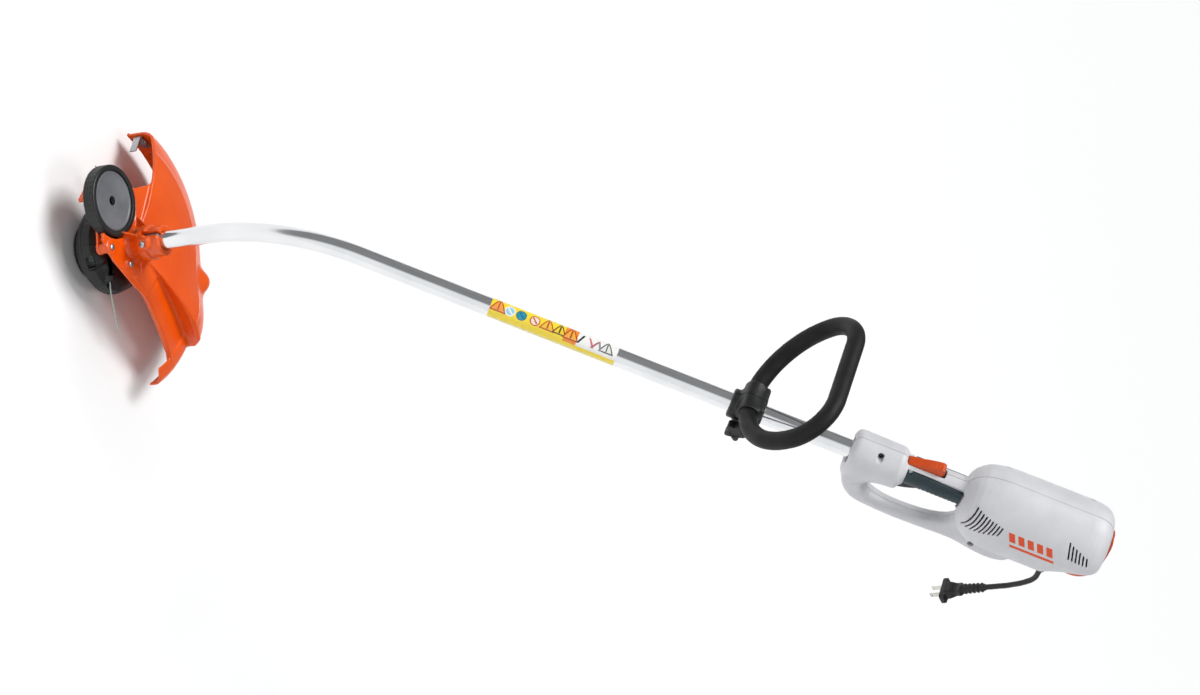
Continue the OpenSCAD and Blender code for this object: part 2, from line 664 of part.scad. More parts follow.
// Everything drilled or cut in both shells
module housing_cuts() {
    along(-10, socket_len, tube_r);
    along(socket_len - 10, body_front + 30, liner_d / 2 + 1);
    along(coupling_at - 2, front_bearing_at + 1, 11);
    along(front_bearing_at, front_bearing_at + motor_bearing_w, motor_bearing_d / 2);
    along(front_bearing_at + motor_bearing_w - 1, stack_at + 6, 9);
    along(stack_at, stack_at + stack_len, stator_d / 2);
    along(rear_bearing_at, rear_bearing_at + motor_bearing_w, motor_bearing_d / 2);
    along(rear_bearing_at - 4, shaft_end + 2, 8);
    for (s = SCREWS) mirror([0, s[3], 0]) {
        across(s[0], s[1], -far, s[2], 2);
        across(s[0], s[1], -far, -s[2] + 3, 4);
    }
    across(trigger_pin_at[0], trigger_pin_at[1], -12, 12, 2);
    across(lever_pin_at[0], lever_pin_at[1], -10.2, 10.2, 2);
    across(trigger_pin_at[0], trigger_pin_at[1], 5, 10.4, 3.55);
    grip_space();
    slab(-far, far) polygon(GAP);
    across(14, 0, tube_r - 1, far, 2.5);
    across(14, 0, hub_r - 2, far, 4.8);
    // Slots that the trigger and the lever move in
    translate([socket_len + 5, -slot_half_w, -24]) cube([52, 2 * slot_half_w, 18]);
    translate([lever_pin_at[0] - 10, -slot_half_w - 2, 11]) cube([62, 2 * slot_half_w + 4, 40]);
    // Cord outlet below
    translate([gland_at, 0, -far]) cylinder(h = far - 40, r = 8);
    vents(-1);
    vents(1);
}

module housing_half(side) rear() difference() {
    intersection() {
        union() housing_outer();
        translate([-far, side > 0 ? 0 : -far, -far]) cube([3 * far, far, 2 * far]);
    }
    housing_hollow();
    housing_cuts();
}
module housing_left() color("#dcdee0") housing_half(-1);
module housing_right() color("#d8dadc") housing_half(1);

// Soft cover round the lower side of the grip bar
module grip_cover() color("#1c2a2d") rear() difference() {
    along(grip_front, grip_rear - 0.01, bar_d / 2, bar_up);
    along(grip_front - 1, grip_rear + 1, bar_d / 2 - grip_wall, bar_up);
    translate([grip_front - 1, -far, bar_up + 13]) cube([grip_rear, 2 * far, far]);
    translate([grip_front - 1, -slot_half_w, -far]) cube([32, 2 * slot_half_w, far]);
    across(trigger_pin_at[0], trigger_pin_at[1], -far, far, 4.3);
    body_outer();
}

// Screws through one shell into the other
module housing_screws() color("#5c6063") rear() for (s = SCREWS) mirror([0, s[3], 0]) {
    across(s[0], s[1], -s[2] + 0.6, -s[2] + 3, 3.9);
    across(s[0], s[1], -s[2] + 3, s[2] - 1, 2);
}

// Screw that clamps the hub on the tube
module tube_screw() color("#b9bdc0") rear() {
    across(14, 0, tube_r, hub_r - 2, 2.5);
    across(14, 0, hub_r - 2, hub_r + 1, 4.6);
}

// Trigger under the front of the grip
module switch_trigger() color("#151718") rear() difference() {
    slab(-slot_half_w + free_gap, slot_half_w - free_gap) polygon(loop_curve([[59, -18], [57, -26], [64, -31],
        [80, -27], [94, -21], [104, -13], [104, -7.6], [100, -6.7], [95, -8], [84, -14], [70, -16]], 3));
    across(trigger_pin_at[0], trigger_pin_at[1], -far, far, 2 + running_gap);
}
module trigger_pin() color("#a4a8ac") rear() across(trigger_pin_at[0], trigger_pin_at[1], -11.9, 11.9, 2);

// Interlock lever on top of the grip
module interlock_lever() color("#e8601c") rear() difference() {
    slab(-slot_half_w - 1.4, slot_half_w + 1.4) polygon(loop_curve([[72, 23], [74, 15], [82, 13], [100, 20],
        [118, 21], [122, 26], [120, 34], [108, 33], [88, 27]], 3));
    across(lever_pin_at[0], lever_pin_at[1], -far, far, 2 + running_gap);
}
module interlock_pin() color("#a4a8ac") rear() across(lever_pin_at[0], lever_pin_at[1], -10.1, 10.1, 2);

// Return spring on the trigger's pin, as close-wound coils beside it
module trigger_spring() color("#c5c9cc") rear() {
    for (i = [0:2]) translate([trigger_pin_at[0], 6.6 + i * 1.2, trigger_pin_at[1]]) rotate([90, 0, 0])
        rotate_extrude() translate([2.7, 0]) circle(0.55);
}

// Slim switch beside the liner, above the trigger
module power_switch() color("#2d2f33") rear() {
    translate([58, 7.2, -2]) cube([20, 4.6, 9]);
    translate([66, 7.8, -4]) cube([3, 3, 2]);
}

// ---- motor ----

module motor_stator() color("#8b8f93") rear() difference() {
    ring_along(stack_at, stack_at + stack_len, stator_d / 2, armature_d / 2 + 0.6);
    for (s = [-1, 1]) translate([stack_at - 1, s * 31 - 5, -16]) cube([stack_len + 2, 10, 32]);
}
module field_coils() color("#b06a32") rear() for (s = [-1, 1]) difference() {
    translate([stack_at - 8, s * 31 - 4.5, -15]) cube([stack_len + 16, 9, 30]);
}
module armature() color("#7d8185") rear() difference() {
    ring_along(stack_at, stack_at + stack_len, armature_d / 2, motor_shaft_d / 2);
    for (a = [0:30:330]) rotate([a, 0, 0]) translate([stack_at - 1, -1.2, armature_d / 2 - 5]) cube([stack_len + 2, 2.4, 8]);
}
module armature_windings() color("#b8702f") rear() {
    ring_along(stack_at - 9, stack_at, armature_d / 2 - 4, motor_shaft_d / 2);
    ring_along(stack_at + stack_len, stack_at + stack_len + 12, armature_d / 2 - 4, motor_shaft_d / 2);
}
module commutator() color("#b87333") rear() difference() {
    ring_along(commutator_at, commutator_at + 16, 12, motor_shaft_d / 2);
    for (a = [0:30:330]) rotate([a + 15, 0, 0]) translate([commutator_at - 1, -0.4, 11]) cube([18, 0.8, 3]);
}
module motor_shaft() color("#a9adb1") rear() {
    along(coupling_at + 13, front_bearing_at, motor_shaft_d / 2);
    along(front_bearing_at, front_bearing_at + motor_bearing_w, motor_shaft_d / 2 - running_gap);
    along(front_bearing_at + motor_bearing_w, rear_bearing_at, motor_shaft_d / 2);
    along(rear_bearing_at, shaft_end, motor_shaft_d / 2 - running_gap);
}
module cooling_fan() color("#3b3e42") rear() {
    ring_along(fan_at, fan_at + 12, 10, motor_shaft_d / 2);
    ring_along(fan_at, fan_at + 2, fan_r, 9);
    for (a = [0:40:320]) rotate([a, 0, 0]) translate([fan_at, -0.9, 9]) cube([12, 1.8, fan_r - 10]);
}
module motor_bearings() color("#b5b9bd") rear() for (x = [front_bearing_at, rear_bearing_at]) difference() {
    ring_along(x, x + motor_bearing_w, motor_bearing_d / 2, motor_shaft_d / 2);
    for (xx = [x - 1, x + motor_bearing_w - 0.6])
        ring_along(xx, xx + 1.6, motor_bearing_d / 2 - 2, motor_shaft_d / 2 + 2);
}
module brush_holders() color("#c49a4a") rear() for (s = [-1, 1]) difference() {
    translate([commutator_at + 2, s * 24 - 11, -5.5]) cube([12, 22, 11]);
    translate([commutator_at + 4.5, s * 24 - 20, -3.5]) cube([7, 40, 7]);
}
module carbon_brushes() color("#2a2a2c") rear() for (s = [-1, 1])
    translate([commutator_at + 4.5, s > 0 ? 12 + free_gap : -30, -3.5]) cube([7, 18 - free_gap, 7]);
module capacitor() color("#3d5f8a") rear() translate([shaft_end + 6, -14, -22]) cube([10, 28, 18]);
module shaft_coupling() color("#95999d") rear() difference() {
    along(coupling_at, coupling_at + coupling_len, 9);
    along(coupling_at + 13, coupling_at + coupling_len + 1, motor_shaft_d / 2);
    translate([coupling_at - 1, -square_w / 2, -square_w / 2]) cube([14, square_w, square_w]);
}
module flex_end_upper() color("#8d9296") rear() {
    along(coupling_at - 2 + free_gap, coupling_at, flex_d / 2);
    translate([coupling_at, -square_w / 2, -square_w / 2]) cube([13, square_w, square_w]);
}

// ---- mains lead ----

// Orange hook at the rear that keeps the extension lead from pulling out
module cord_retainer() color("#ee621d") rear() difference() {
    slab(-9, 9) polygon(loop_curve([[body_rear - 9, 32], [body_rear, 30], [body_rear + 4, 10],
        [body_rear + 2.5, -28], [body_rear - 3, -48], [body_rear - 13, -59], [body_rear - 24, -63.5],
        [body_rear - 36, -63], [body_rear - 36, -54], [body_rear - 12, -40]], 3));
    body_outer();
}

// Tapered strain relief where the cord leaves the housing
module cord_gland() color("#1b1c1e") rear() translate([gland_at, 0, 0]) {
    translate([0, 0, -body_r - body_drop - 2]) cylinder(h = 8, r = 8);
    translate([0, 0, -body_r - body_drop - gland_out]) cylinder(h = gland_out - 2, r1 = cord_d / 2 + 1, r2 = 7);
}

module power_cord() color("#161718") swept(CORD_ROUTE, cord_d / 2, 10);

// Two-blade plug: ribbed strain relief, body and finger flange
module plug_body() color("#151617") translate(plug_at) {
    for (i = [0:4]) translate([0, 0, -6 * i - 3]) cylinder(h = 3, r = cord_d / 2 + 1.2 + 0.3 * i);
    translate([0, 0, -36]) cylinder(h = 36, r = cord_d / 2 + 0.6 + 0.01);
    translate([0, 0, -56]) hull() {
        translate([-8, -12, 0]) cube([16, 24, 12]);
        translate([0, 0, 20]) cylinder(h = 2, r = cord_d / 2 + 2.4, $fn = 24);
    }
    translate([-8, -18, -63]) cube([16, 36, 7]);
}
module plug_blades() color("#c9cccf") translate(plug_at) for (s = [-1, 1])
    translate([-3.2, s * blade_pitch / 2 - 0.75, -63 - blade_len]) difference() {
        cube([6.4, 1.5, blade_len]);
        translate([3.2, -1, 4]) rotate([-90, 0, 0]) cylinder(h = 4, r = 1.5);
    }

spool_housing();
spool_cap();
tap_button();
line_spool();
wound_line();
spool_spring();
line_eyelets();
cutting_line_a();
cutting_line_b();
head_arbor();
flex_end_lower();
bearing_carrier();
head_bearings();
retaining_ring();
deflector();
deflector_screws();
line_blade();
blade_screw();
wheel_bracket();
wheel_axle();
edging_wheel();
shaft_tube();
shaft_liner();
liner_bushes();
flex_shaft();
info_label();
loop_handle();
clamp_left();
clamp_right();
clamp_bolt();
clamp_knob();
housing_left();
housing_right();
grip_cover();
housing_screws();
tube_screw();
switch_trigger();
trigger_pin();
interlock_lever();
interlock_pin();
trigger_spring();
power_switch();
motor_stator();
field_coils();
armature();
armature_windings();
commutator();
motor_shaft();
cooling_fan();
motor_bearings();
brush_holders();
carbon_brushes();
capacitor();
shaft_coupling();
flex_end_upper();
cord_retainer();
cord_gland();
power_cord();
plug_body();
plug_blades();
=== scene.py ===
"""Looks of a corded string trimmer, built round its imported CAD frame.

Sizes in the classes are millimetres in the CAD model's own frame, and meshes are made in metres.
"""

import logging
import math
from dataclasses import dataclass, field
from enum import Enum
from typing import Callable, Optional, Sequence

import bpy
import numpy as np
from mathutils import Matrix, Vector


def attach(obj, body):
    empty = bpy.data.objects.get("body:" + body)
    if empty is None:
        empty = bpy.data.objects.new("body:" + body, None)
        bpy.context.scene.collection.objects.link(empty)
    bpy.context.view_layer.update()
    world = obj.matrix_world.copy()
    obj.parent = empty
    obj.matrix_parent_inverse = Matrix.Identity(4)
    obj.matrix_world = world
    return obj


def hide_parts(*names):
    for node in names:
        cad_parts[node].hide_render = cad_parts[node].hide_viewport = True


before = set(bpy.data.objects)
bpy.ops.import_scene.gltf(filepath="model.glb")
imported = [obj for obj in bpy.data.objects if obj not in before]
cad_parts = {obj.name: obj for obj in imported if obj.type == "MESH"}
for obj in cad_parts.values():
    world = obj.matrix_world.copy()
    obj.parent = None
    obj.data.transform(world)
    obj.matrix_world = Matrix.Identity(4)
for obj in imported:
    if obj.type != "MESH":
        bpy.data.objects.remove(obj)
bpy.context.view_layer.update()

LOG = logging.getLogger("trimmer")
MM = 0.001
Array = np.ndarray
Field = Callable[[Array, Array, Array], Array]


# ---- fields: signed distances in millimetres, negative inside ----

def join(a: Array, b: Array, radius: float) -> Array:
    """Union of two fields with a fillet.

    Args:
        a: First field's distances.
        b: Second field's distances.
        radius: Size of the fillet in millimetres.

    Returns:
        The joined distances.
    """
    overlap = np.maximum(radius - np.abs(a - b), 0.0) / radius
    return np.minimum(a, b) - overlap * overlap * radius / 4


def meet(a: Array, b: Array, radius: float) -> Array:
    """Common part of two fields, with its edge rounded by radius."""
    return -join(-a, -b, radius)


def carve(a: Array, b: Array, radius: float) -> Array:
    """Field a with b cut out of it, the cut's edge rounded by radius."""
    return -join(-a, b, radius)


def block(p: Array, q: Array, half_p: float, half_q: float, corner: float = 0.0) -> Array:
    """Distance from a rectangle about the origin with round corners.

    Args:
        p: First coordinate.
        q: Second coordinate.
        half_p: Half the size along p.
        half_q: Half the size along q.
        corner: Radius of the corners.

    Returns:
        Signed distances.
    """
    a = np.abs(p) - half_p + corner
    b = np.abs(q) - half_q + corner
    return np.hypot(np.maximum(a, 0), np.maximum(b, 0)) + np.minimum(np.maximum(a, b), 0) - corner


def turned(p: Array, q: Array, angle: float) -> tuple[Array, Array]:
    """Coordinates seen from axes turned by angle, in degrees."""
    c, s = math.cos(math.radians(angle)), math.sin(math.radians(angle))
    return c * p + s * q, c * q - s * p


def smooth_line(points: Sequence[Sequence[float]], steps: int, closed: bool = False) -> Array:
    """Points on a smooth curve through the given points.

    Args:
        points: The points that the curve passes through.
        steps: Pieces between two neighbours.
        closed: Whether the last point joins the first.

    Returns:
        The curve's points, one per row.
    """
    p = np.asarray(points, float)
    count = len(p)
    pick = (lambda i: p[i % count]) if closed else (lambda i: p[min(max(i, 0), count - 1)])
    rows = []
    for i in range(count if closed else count - 1):
        a, b, c, d = pick(i - 1), pick(i), pick(i + 1), pick(i + 2)
        for k in range(steps):
            t = k / steps
            rows.append(0.5 * (2 * b + (c - a) * t + (2 * a - 5 * b + 4 * c - d) * t * t
                               + (3 * b - a - 3 * c + d) * t ** 3))
    if not closed:
        rows.append(p[-1])
    return np.array(rows)


class Outline:
    """A closed flat outline that gives signed distances."""

    def __init__(self, points: Sequence[Sequence[float]], smooth: int = 0) -> None:
        """Keeps the corners, passed through a smooth curve if smooth is above 0."""
        self.points = smooth_line(points, smooth, True) if smooth else np.asarray(points, float)

    def __call__(self, p: Array, q: Array) -> Array:
        """Signed distance of the points (p, q) from the outline.

        Args:
            p: First coordinates.
            q: Second coordinates.

        Returns:
            Signed distances.
        """
        nearest, inside = None, False
        for (ax, ay), (bx, by) in zip(self.points, np.roll(self.points, -1, axis=0)):
            ex, ey = bx - ax, by - ay
            t = np.clip(((p - ax) * ex + (q - ay) * ey) / (ex * ex + ey * ey + 1e-12), 0, 1)
            gap = (p - ax - t * ex) ** 2 + (q - ay - t * ey) ** 2
            nearest = gap if nearest is None else np.minimum(nearest, gap)
            rise = by - ay if abs(by - ay) > 1e-9 else 1e-9
            inside = inside ^ (((ay > q) != (by > q)) & (p < ex * (q - ay) / rise + ax))
        return np.where(inside, -1.0, 1.0) * np.sqrt(nearest)


# ---- meshes ----

@dataclass
class Shape:
    """Points in millimetres, faces as rows of indices, and optional UVs per point."""
    points: Array
    faces: list
    uv: Optional[Array] = None

    def moved(self, matrix: Matrix) -> "Shape":
        """The same shape placed by a matrix whose shift is in millimetres."""
        m = np.array(matrix)
        return Shape(self.points @ m[:3, :3].T + m[:3, 3], self.faces, self.uv)

    @staticmethod
    def group(shapes: Sequence["Shape"]) -> "Shape":
        """Several shapes as one.

        Args:
            shapes: The shapes to put together.

        Returns:
            The one shape.
        """
        faces, base = [], 0
        for one in shapes:
            faces += [[i + base for i in f] for f in one.faces]
            base += len(one.points)
        return Shape(np.vstack([one.points for one in shapes]), faces)


def net(shape: Field, low: Sequence[float], high: Sequence[float], cell: float) -> Shape:
    """Surface of a field, as quads between grid cells, drawn onto the true surface.

    Args:
        shape: The field.
        low: Lowest corner of the box that holds the shape.
        high: Highest corner of it.
        cell: Size of a grid cell in millimetres.

    Returns:
        The closed surface.
    """
    origin = np.asarray(low, float) - 2.03 * cell
    sizes = [int((b - a) / cell) + 5 for a, b in zip(low, high)]
    x, y, z = (origin[k] + cell * np.arange(sizes[k]) for k in range(3))
    value = shape(x[:, None, None], y[None, :, None], z[None, None, :])
    value = np.broadcast_to(value, sizes).astype(np.float32)
    inside = value < 0
    corners = [(i, j, k) for i in (0, 1) for j in (0, 1) for k in (0, 1)]
    full = sum(inside[i:sizes[0] - 1 + i, j:sizes[1] - 1 + j, k:sizes[2] - 1 + k].astype(np.int8)
               for i, j, k in corners)
    active = (full > 0) & (full < 8)
    cells = np.argwhere(active)
    number = np.full(active.shape, -1, np.int64)
    number[active] = np.arange(len(cells))
    total, hits = np.zeros((len(cells), 3)), np.zeros(len(cells))
    for a in corners:
        for axis in range(3):
            if a[axis]:
                continue
            b = tuple(v + (k == axis) for k, v in enumerate(a))
            va, vb = value[tuple((cells + a).T)], value[tuple((cells + b).T)]
            crossing = (va < 0) != (vb < 0)
            share = np.where(crossing, va / np.where(crossing, va - vb, 1), 0)
            total += crossing[:, None] * (np.array(a) + share[:, None] * (np.array(b) - np.array(a)))
            hits += crossing
    points = origin + cell * (cells + total / hits[:, None])
    start, step = points.copy(), 0.2 * cell
    for _ in range(3):
        d = shape(*points.T)
        slope = np.stack([shape(*(points + step * e).T) - shape(*(points - step * e).T)
                          for e in np.eye(3)], 1)
        slope /= 2 * step
        points -= np.clip(d / np.maximum((slope ** 2).sum(1), 0.25), -cell, cell)[:, None] * slope
        points = start + np.clip(points - start, -0.6 * cell, 0.6 * cell)
    faces = []
    for axis in range(3):
        u, v = np.eye(3, dtype=int)[(axis + 1) % 3], np.eye(3, dtype=int)[(axis + 2) % 3]
        first = np.take(inside, range(sizes[axis] - 1), axis)
        second = np.take(inside, range(1, sizes[axis]), axis)
        edge = np.argwhere(first != second)
        outward = first[tuple(edge.T)]
        quad = np.stack([number[tuple((edge - s).T)] for s in (0 * u, u, u + v, v)], 1)
        faces.append(np.where(outward[:, None], quad, quad[:, ::-1]))
    return Shape(points, np.vstack(faces).tolist())


def sweep(path: Array, radius: "float | Array", sides: int, across: Sequence[float] = (0, 1, 0)) -> Shape:
    """Round bar along a path, closed at both ends.

    Args:
        path: The centre line's points.
        radius: One radius, or one per point.
        sides: Points round the bar.
        across: A direction that the path never follows.

    Returns:
        The bar, with UVs in metres round it and along it.
    """
    path = np.asarray(path, float)
    radii = np.broadcast_to(np.asarray(radius, float), len(path))
    run = np.gradient(path, axis=0)
    run /= np.linalg.norm(run, axis=1)[:, None]
    side = np.cross(run, np.asarray(across, float))
    side /= np.linalg.norm(side, axis=1)[:, None]
    up = np.cross(side, run)
    angle = np.linspace(0, 2 * math.pi, sides, endpoint=False)
    ring = np.cos(angle)[None, :, None] * side[:, None, :] + np.sin(angle)[None, :, None] * up[:, None, :]
    points = (path[:, None, :] + radii[:, None, None] * ring).reshape(-1, 3)
    faces = []
    for i in range(len(path) - 1):
        for k in range(sides):
            j = (k + 1) % sides
            faces.append([i * sides + k, (i + 1) * sides + k, (i + 1) * sides + j, i * sides + j])
    faces.append(list(range(sides)))
    faces.append([(len(path) - 1) * sides + k for k in range(sides - 1, -1, -1)])
    length = np.concatenate([[0], np.cumsum(np.linalg.norm(np.diff(path, axis=0), axis=1))])
    uv = np.stack(np.broadcast_arrays(angle[None, :] * radii[:, None], length[:, None]), 2).reshape(-1, 2)
    return Shape(points, faces, uv * MM)


def lathe(profile: Sequence[Sequence[float]], segments: int = 64) -> Shape:
    """Closed body turned about Z.

    Args:
        profile: Closed outline of radius and height, counter-clockwise, with no point on the axis
            except where the body is solid there.
        segments: Steps round the axis.

    Returns:
        The turned body.
    """
    points, rows = [], []
    for r, z in profile:
        if r < 1e-6:
            rows.append([len(points)] * segments)
            points.append((0, 0, z))
            continue
        rows.append([len(points) + k for k in range(segments)])
        points += [(r * math.cos(2 * math.pi * k / segments), r * math.sin(2 * math.pi * k / segments), z)
                   for k in range(segments)]
    faces = []
    for i, row in enumerate(rows):
        other = rows[(i + 1) % len(rows)]
        for k in range(segments):
            j = (k + 1) % segments
            corner = list(dict.fromkeys([row[k], row[j], other[j], other[k]]))
            if len(corner) > 2:
                faces.append(corner)
    return Shape(np.array(points, float), faces)


# ---- finishes ----

class Grain(Enum):
    """How a surface was made, which sets its fine pattern."""
    SPARK = "spark eroded mould"
    DRAWN = "lines along the piece"
    TURNED = "fine rings about its axis"
    PEBBLE = "pebbled soft skin"
    WOUND = "turns of wire"
    STACKED = "thin sheets side by side"


def srgb(code: str) -> tuple[float, float, float, float]:
    """Linear colour of an sRGB hex code such as #F26A1B."""
    parts = [int(code[i:i + 2], 16) / 255 for i in (1, 3, 5)]
    return (*(c / 12.92 if c <= 0.04045 else ((c + 0.055) / 1.055) ** 2.4 for c in parts), 1.0)


def add(tree: bpy.types.NodeTree, kind: str, links: Optional[dict] = None,
        **settings: object) -> bpy.types.Node:
    """Adds a node with its settings and links.

    Args:
        tree: The material's node tree.
        kind: Blender's name for the node.
        links: Socket name or number to a value, or to the output that feeds it.
        settings: The node's own settings.

    Returns:
        The new node.
    """
    node = tree.nodes.new(kind)
    for name, value in settings.items():
        setattr(node, name, value)
    for name, value in (links or {}).items():
        if isinstance(value, bpy.types.NodeSocket):
            tree.links.new(value, node.inputs[name])
        else:
            node.inputs[name].default_value = value
    return node


@dataclass(frozen=True)
class Finish:
    """A surface finish, built as one procedural material.

    Pattern sizes are real millimetres. Roughness runs between two values over the surface.
    """
    name: str
    colour: str
    shade: str
    roughness: tuple[float, float]
    grain: Grain = Grain.SPARK
    pitch: float = 0.6
    depth: float = 0.03
    mottle: float = 30.0
    metallic: float = 0.0
    ior: float = 1.5
    coat: float = 0.0
    sheen: float = 0.0
    clear: float = 0.0

    def pattern(self, tree: bpy.types.NodeTree, spot: bpy.types.NodeSocket) -> bpy.types.NodeSocket:
        """Height of the fine pattern at a place.

        Args:
            tree: The material's node tree.
            spot: Place on the surface, in metres.

        Returns:
            The socket that gives the height, from 0 to 1.
        """
        per_metre = 1000 / self.pitch
        if self.grain is Grain.PEBBLE:
            return add(tree, "ShaderNodeTexVoronoi", {"Vector": spot, "Scale": per_metre},
                       feature="SMOOTH_F1").outputs["Distance"]
        if self.grain is Grain.DRAWN:
            along = add(tree, "ShaderNodeMapping", {"Vector": spot, "Scale": (per_metre, per_metre / 80, 1)})
            return add(tree, "ShaderNodeTexNoise",
                       {"Vector": along.outputs[0], "Scale": 1.0, "Detail": 2.0}).outputs[0]
        if self.grain is Grain.SPARK:
            return add(tree, "ShaderNodeTexNoise",
                       {"Vector": spot, "Scale": per_metre, "Detail": 2.0}).outputs[0]
        bands = {Grain.TURNED: ("RINGS", "Z"), Grain.WOUND: ("BANDS", "Y"), Grain.STACKED: ("BANDS", "X")}
        form, axis = bands[self.grain]
        key = "rings_direction" if form == "RINGS" else "bands_direction"
        return add(tree, "ShaderNodeTexWave", {"Vector": spot, "Scale": per_metre / 20, "Distortion": 0.4},
                   wave_type=form, **{key: axis}).outputs["Fac"]

    def place(self, tree: bpy.types.NodeTree) -> bpy.types.NodeSocket:
        """Socket of the place on the surface: along a drawn piece's run, else in its own frame."""
        coordinates = add(tree, "ShaderNodeTexCoord")
        return coordinates.outputs["UV" if self.grain is Grain.DRAWN else "Object"]

    def tint(self, tree: bpy.types.NodeTree, spot: bpy.types.NodeSocket) -> bpy.types.NodeSocket:
        """Colour at a place, drifting slowly between the finish's two colours.

        Args:
            tree: The material's node tree.
            spot: Place on the surface, in metres.

        Returns:
            The socket that gives the colour.
        """
        cloud = add(tree, "ShaderNodeTexNoise", {"Vector": spot, "Scale": 1000 / self.mottle, "Detail": 4.0})
        ramp = add(tree, "ShaderNodeValToRGB", {"Fac": cloud.outputs[0]})
        for stop, position, code in zip(ramp.color_ramp.elements, (0.3, 0.7), (self.shade, self.colour)):
            stop.position = position
            stop.color = srgb(code)
        return ramp.outputs[0]

    def build(self) -> bpy.types.Material:
        """The material.

        Returns:
            The material.
        """
        material = bpy.data.materials.new(self.name)
        material.use_nodes = True
        tree = material.node_tree
        tree.nodes.clear()
        spot = self.place(tree)
        height = self.pattern(tree, spot)
        bump = add(tree, "ShaderNodeBump", {"Height": height, "Strength": 0.6, "Distance": self.depth * MM})
        patches = add(tree, "ShaderNodeTexNoise", {"Vector": spot, "Scale": 600 / self.mottle, "Detail": 3.0})
        rough = add(tree, "ShaderNodeMapRange", {0: patches.outputs[0], 1: 0.3, 2: 0.7,
                                                 3: self.roughness[0], 4: self.roughness[1]})
        shader = add(tree, "ShaderNodeBsdfPrincipled", {
            "Base Color": self.tint(tree, spot), "Roughness": rough.outputs[0], "Normal": bump.outputs[0],
            "Metallic": self.metallic, "IOR": self.ior, "Coat Weight": self.coat, "Coat Roughness": 0.12,
            "Sheen Weight": self.sheen, "Transmission Weight": self.clear})
        add(tree, "ShaderNodeOutputMaterial", {"Surface": shader.outputs[0]})
        return material


@dataclass(frozen=True)
class MarkedShell(Finish):
    """Light grey shell with a plain orange mark of slanted bars on its left side.

    The mark lies in the housing's own frame: metres along the tube and off it.
    """
    mark_colour: str = "#D84A14"
    mark_at: tuple[float, float] = (0.258, 0.014)
    bars: int = 5
    bar_pitch: float = 0.013
    bar_share: float = 0.33
    bar_half: float = 0.0062
    bar_lean: float = 0.45
    line_drop: float = 0.0125
    line_half: float = 0.0022
    line_reach: float = 0.031

    def tint(self, tree: bpy.types.NodeTree, spot: bpy.types.NodeSocket) -> bpy.types.NodeSocket:
        """The shell's colour with the mark laid over it.

        Args:
            tree: The material's node tree.
            spot: Place on the surface, in metres.

        Returns:
            The socket that gives the colour.
        """
        under = super().tint(tree, spot)
        axes = add(tree, "ShaderNodeSeparateXYZ", {0: spot})

        def calc(kind: str, a: object, b: object = 0.0) -> bpy.types.NodeSocket:
            """One sum on two values or sockets."""
            return add(tree, "ShaderNodeMath", {0: a, 1: b}, operation=kind).outputs[0]

        def within(value: object, half: float) -> bpy.types.NodeSocket:
            """1 where a value lies less than half from 0, else 0."""
            return calc("LESS_THAN", calc("ABSOLUTE", value), half)

        rise = calc("SUBTRACT", axes.outputs[2], self.mark_at[1])
        run = calc("SUBTRACT", axes.outputs[0], self.mark_at[0])
        lean = calc("ADD", run, calc("MULTIPLY", rise, self.bar_lean))
        turn = calc("FRACT", calc("ADD", calc("DIVIDE", lean, self.bar_pitch), 0.5))
        bar = within(calc("SUBTRACT", turn, 0.5), self.bar_share)
        bars = calc("MULTIPLY", bar, within(lean, self.bar_pitch * self.bars / 2))
        bars = calc("MULTIPLY", bars, within(rise, self.bar_half))
        line = within(calc("ADD", rise, self.line_drop), self.line_half)
        line = calc("MULTIPLY", line, within(lean, self.line_reach))
        left = calc("LESS_THAN", axes.outputs[1], -0.02)
        mask = calc("MULTIPLY", calc("MAXIMUM", bars, line), left)
        mix = add(tree, "ShaderNodeMix", {0: mask, 6: under, 7: srgb(self.mark_colour)}, data_type="RGBA")
        return mix.outputs[2]


@dataclass(frozen=True)
class PrintedFilm(Finish):
    """Film whose print is stored as one colour per point of its mesh."""

    def tint(self, tree: bpy.types.NodeTree, spot: bpy.types.NodeSocket) -> bpy.types.NodeSocket:
        """The printed colour, a little uneven as ink on film is.

        Args:
            tree: The material's node tree.
            spot: Place on the surface, in metres.

        Returns:
            The socket that gives the colour.
        """
        print_colour = add(tree, "ShaderNodeVertexColor", layer_name="print")
        cloud = add(tree, "ShaderNodeTexNoise", {"Vector": spot, "Scale": 1000 / self.mottle, "Detail": 3.0})
        fade = add(tree, "ShaderNodeMapRange", {0: cloud.outputs[0], 3: 0.93, 4: 1.0})
        mix = add(tree, "ShaderNodeMix", {0: 1.0, 6: print_colour.outputs[0], 7: fade.outputs[0]},
                  data_type="RGBA", blend_type="MULTIPLY")
        return mix.outputs[2]


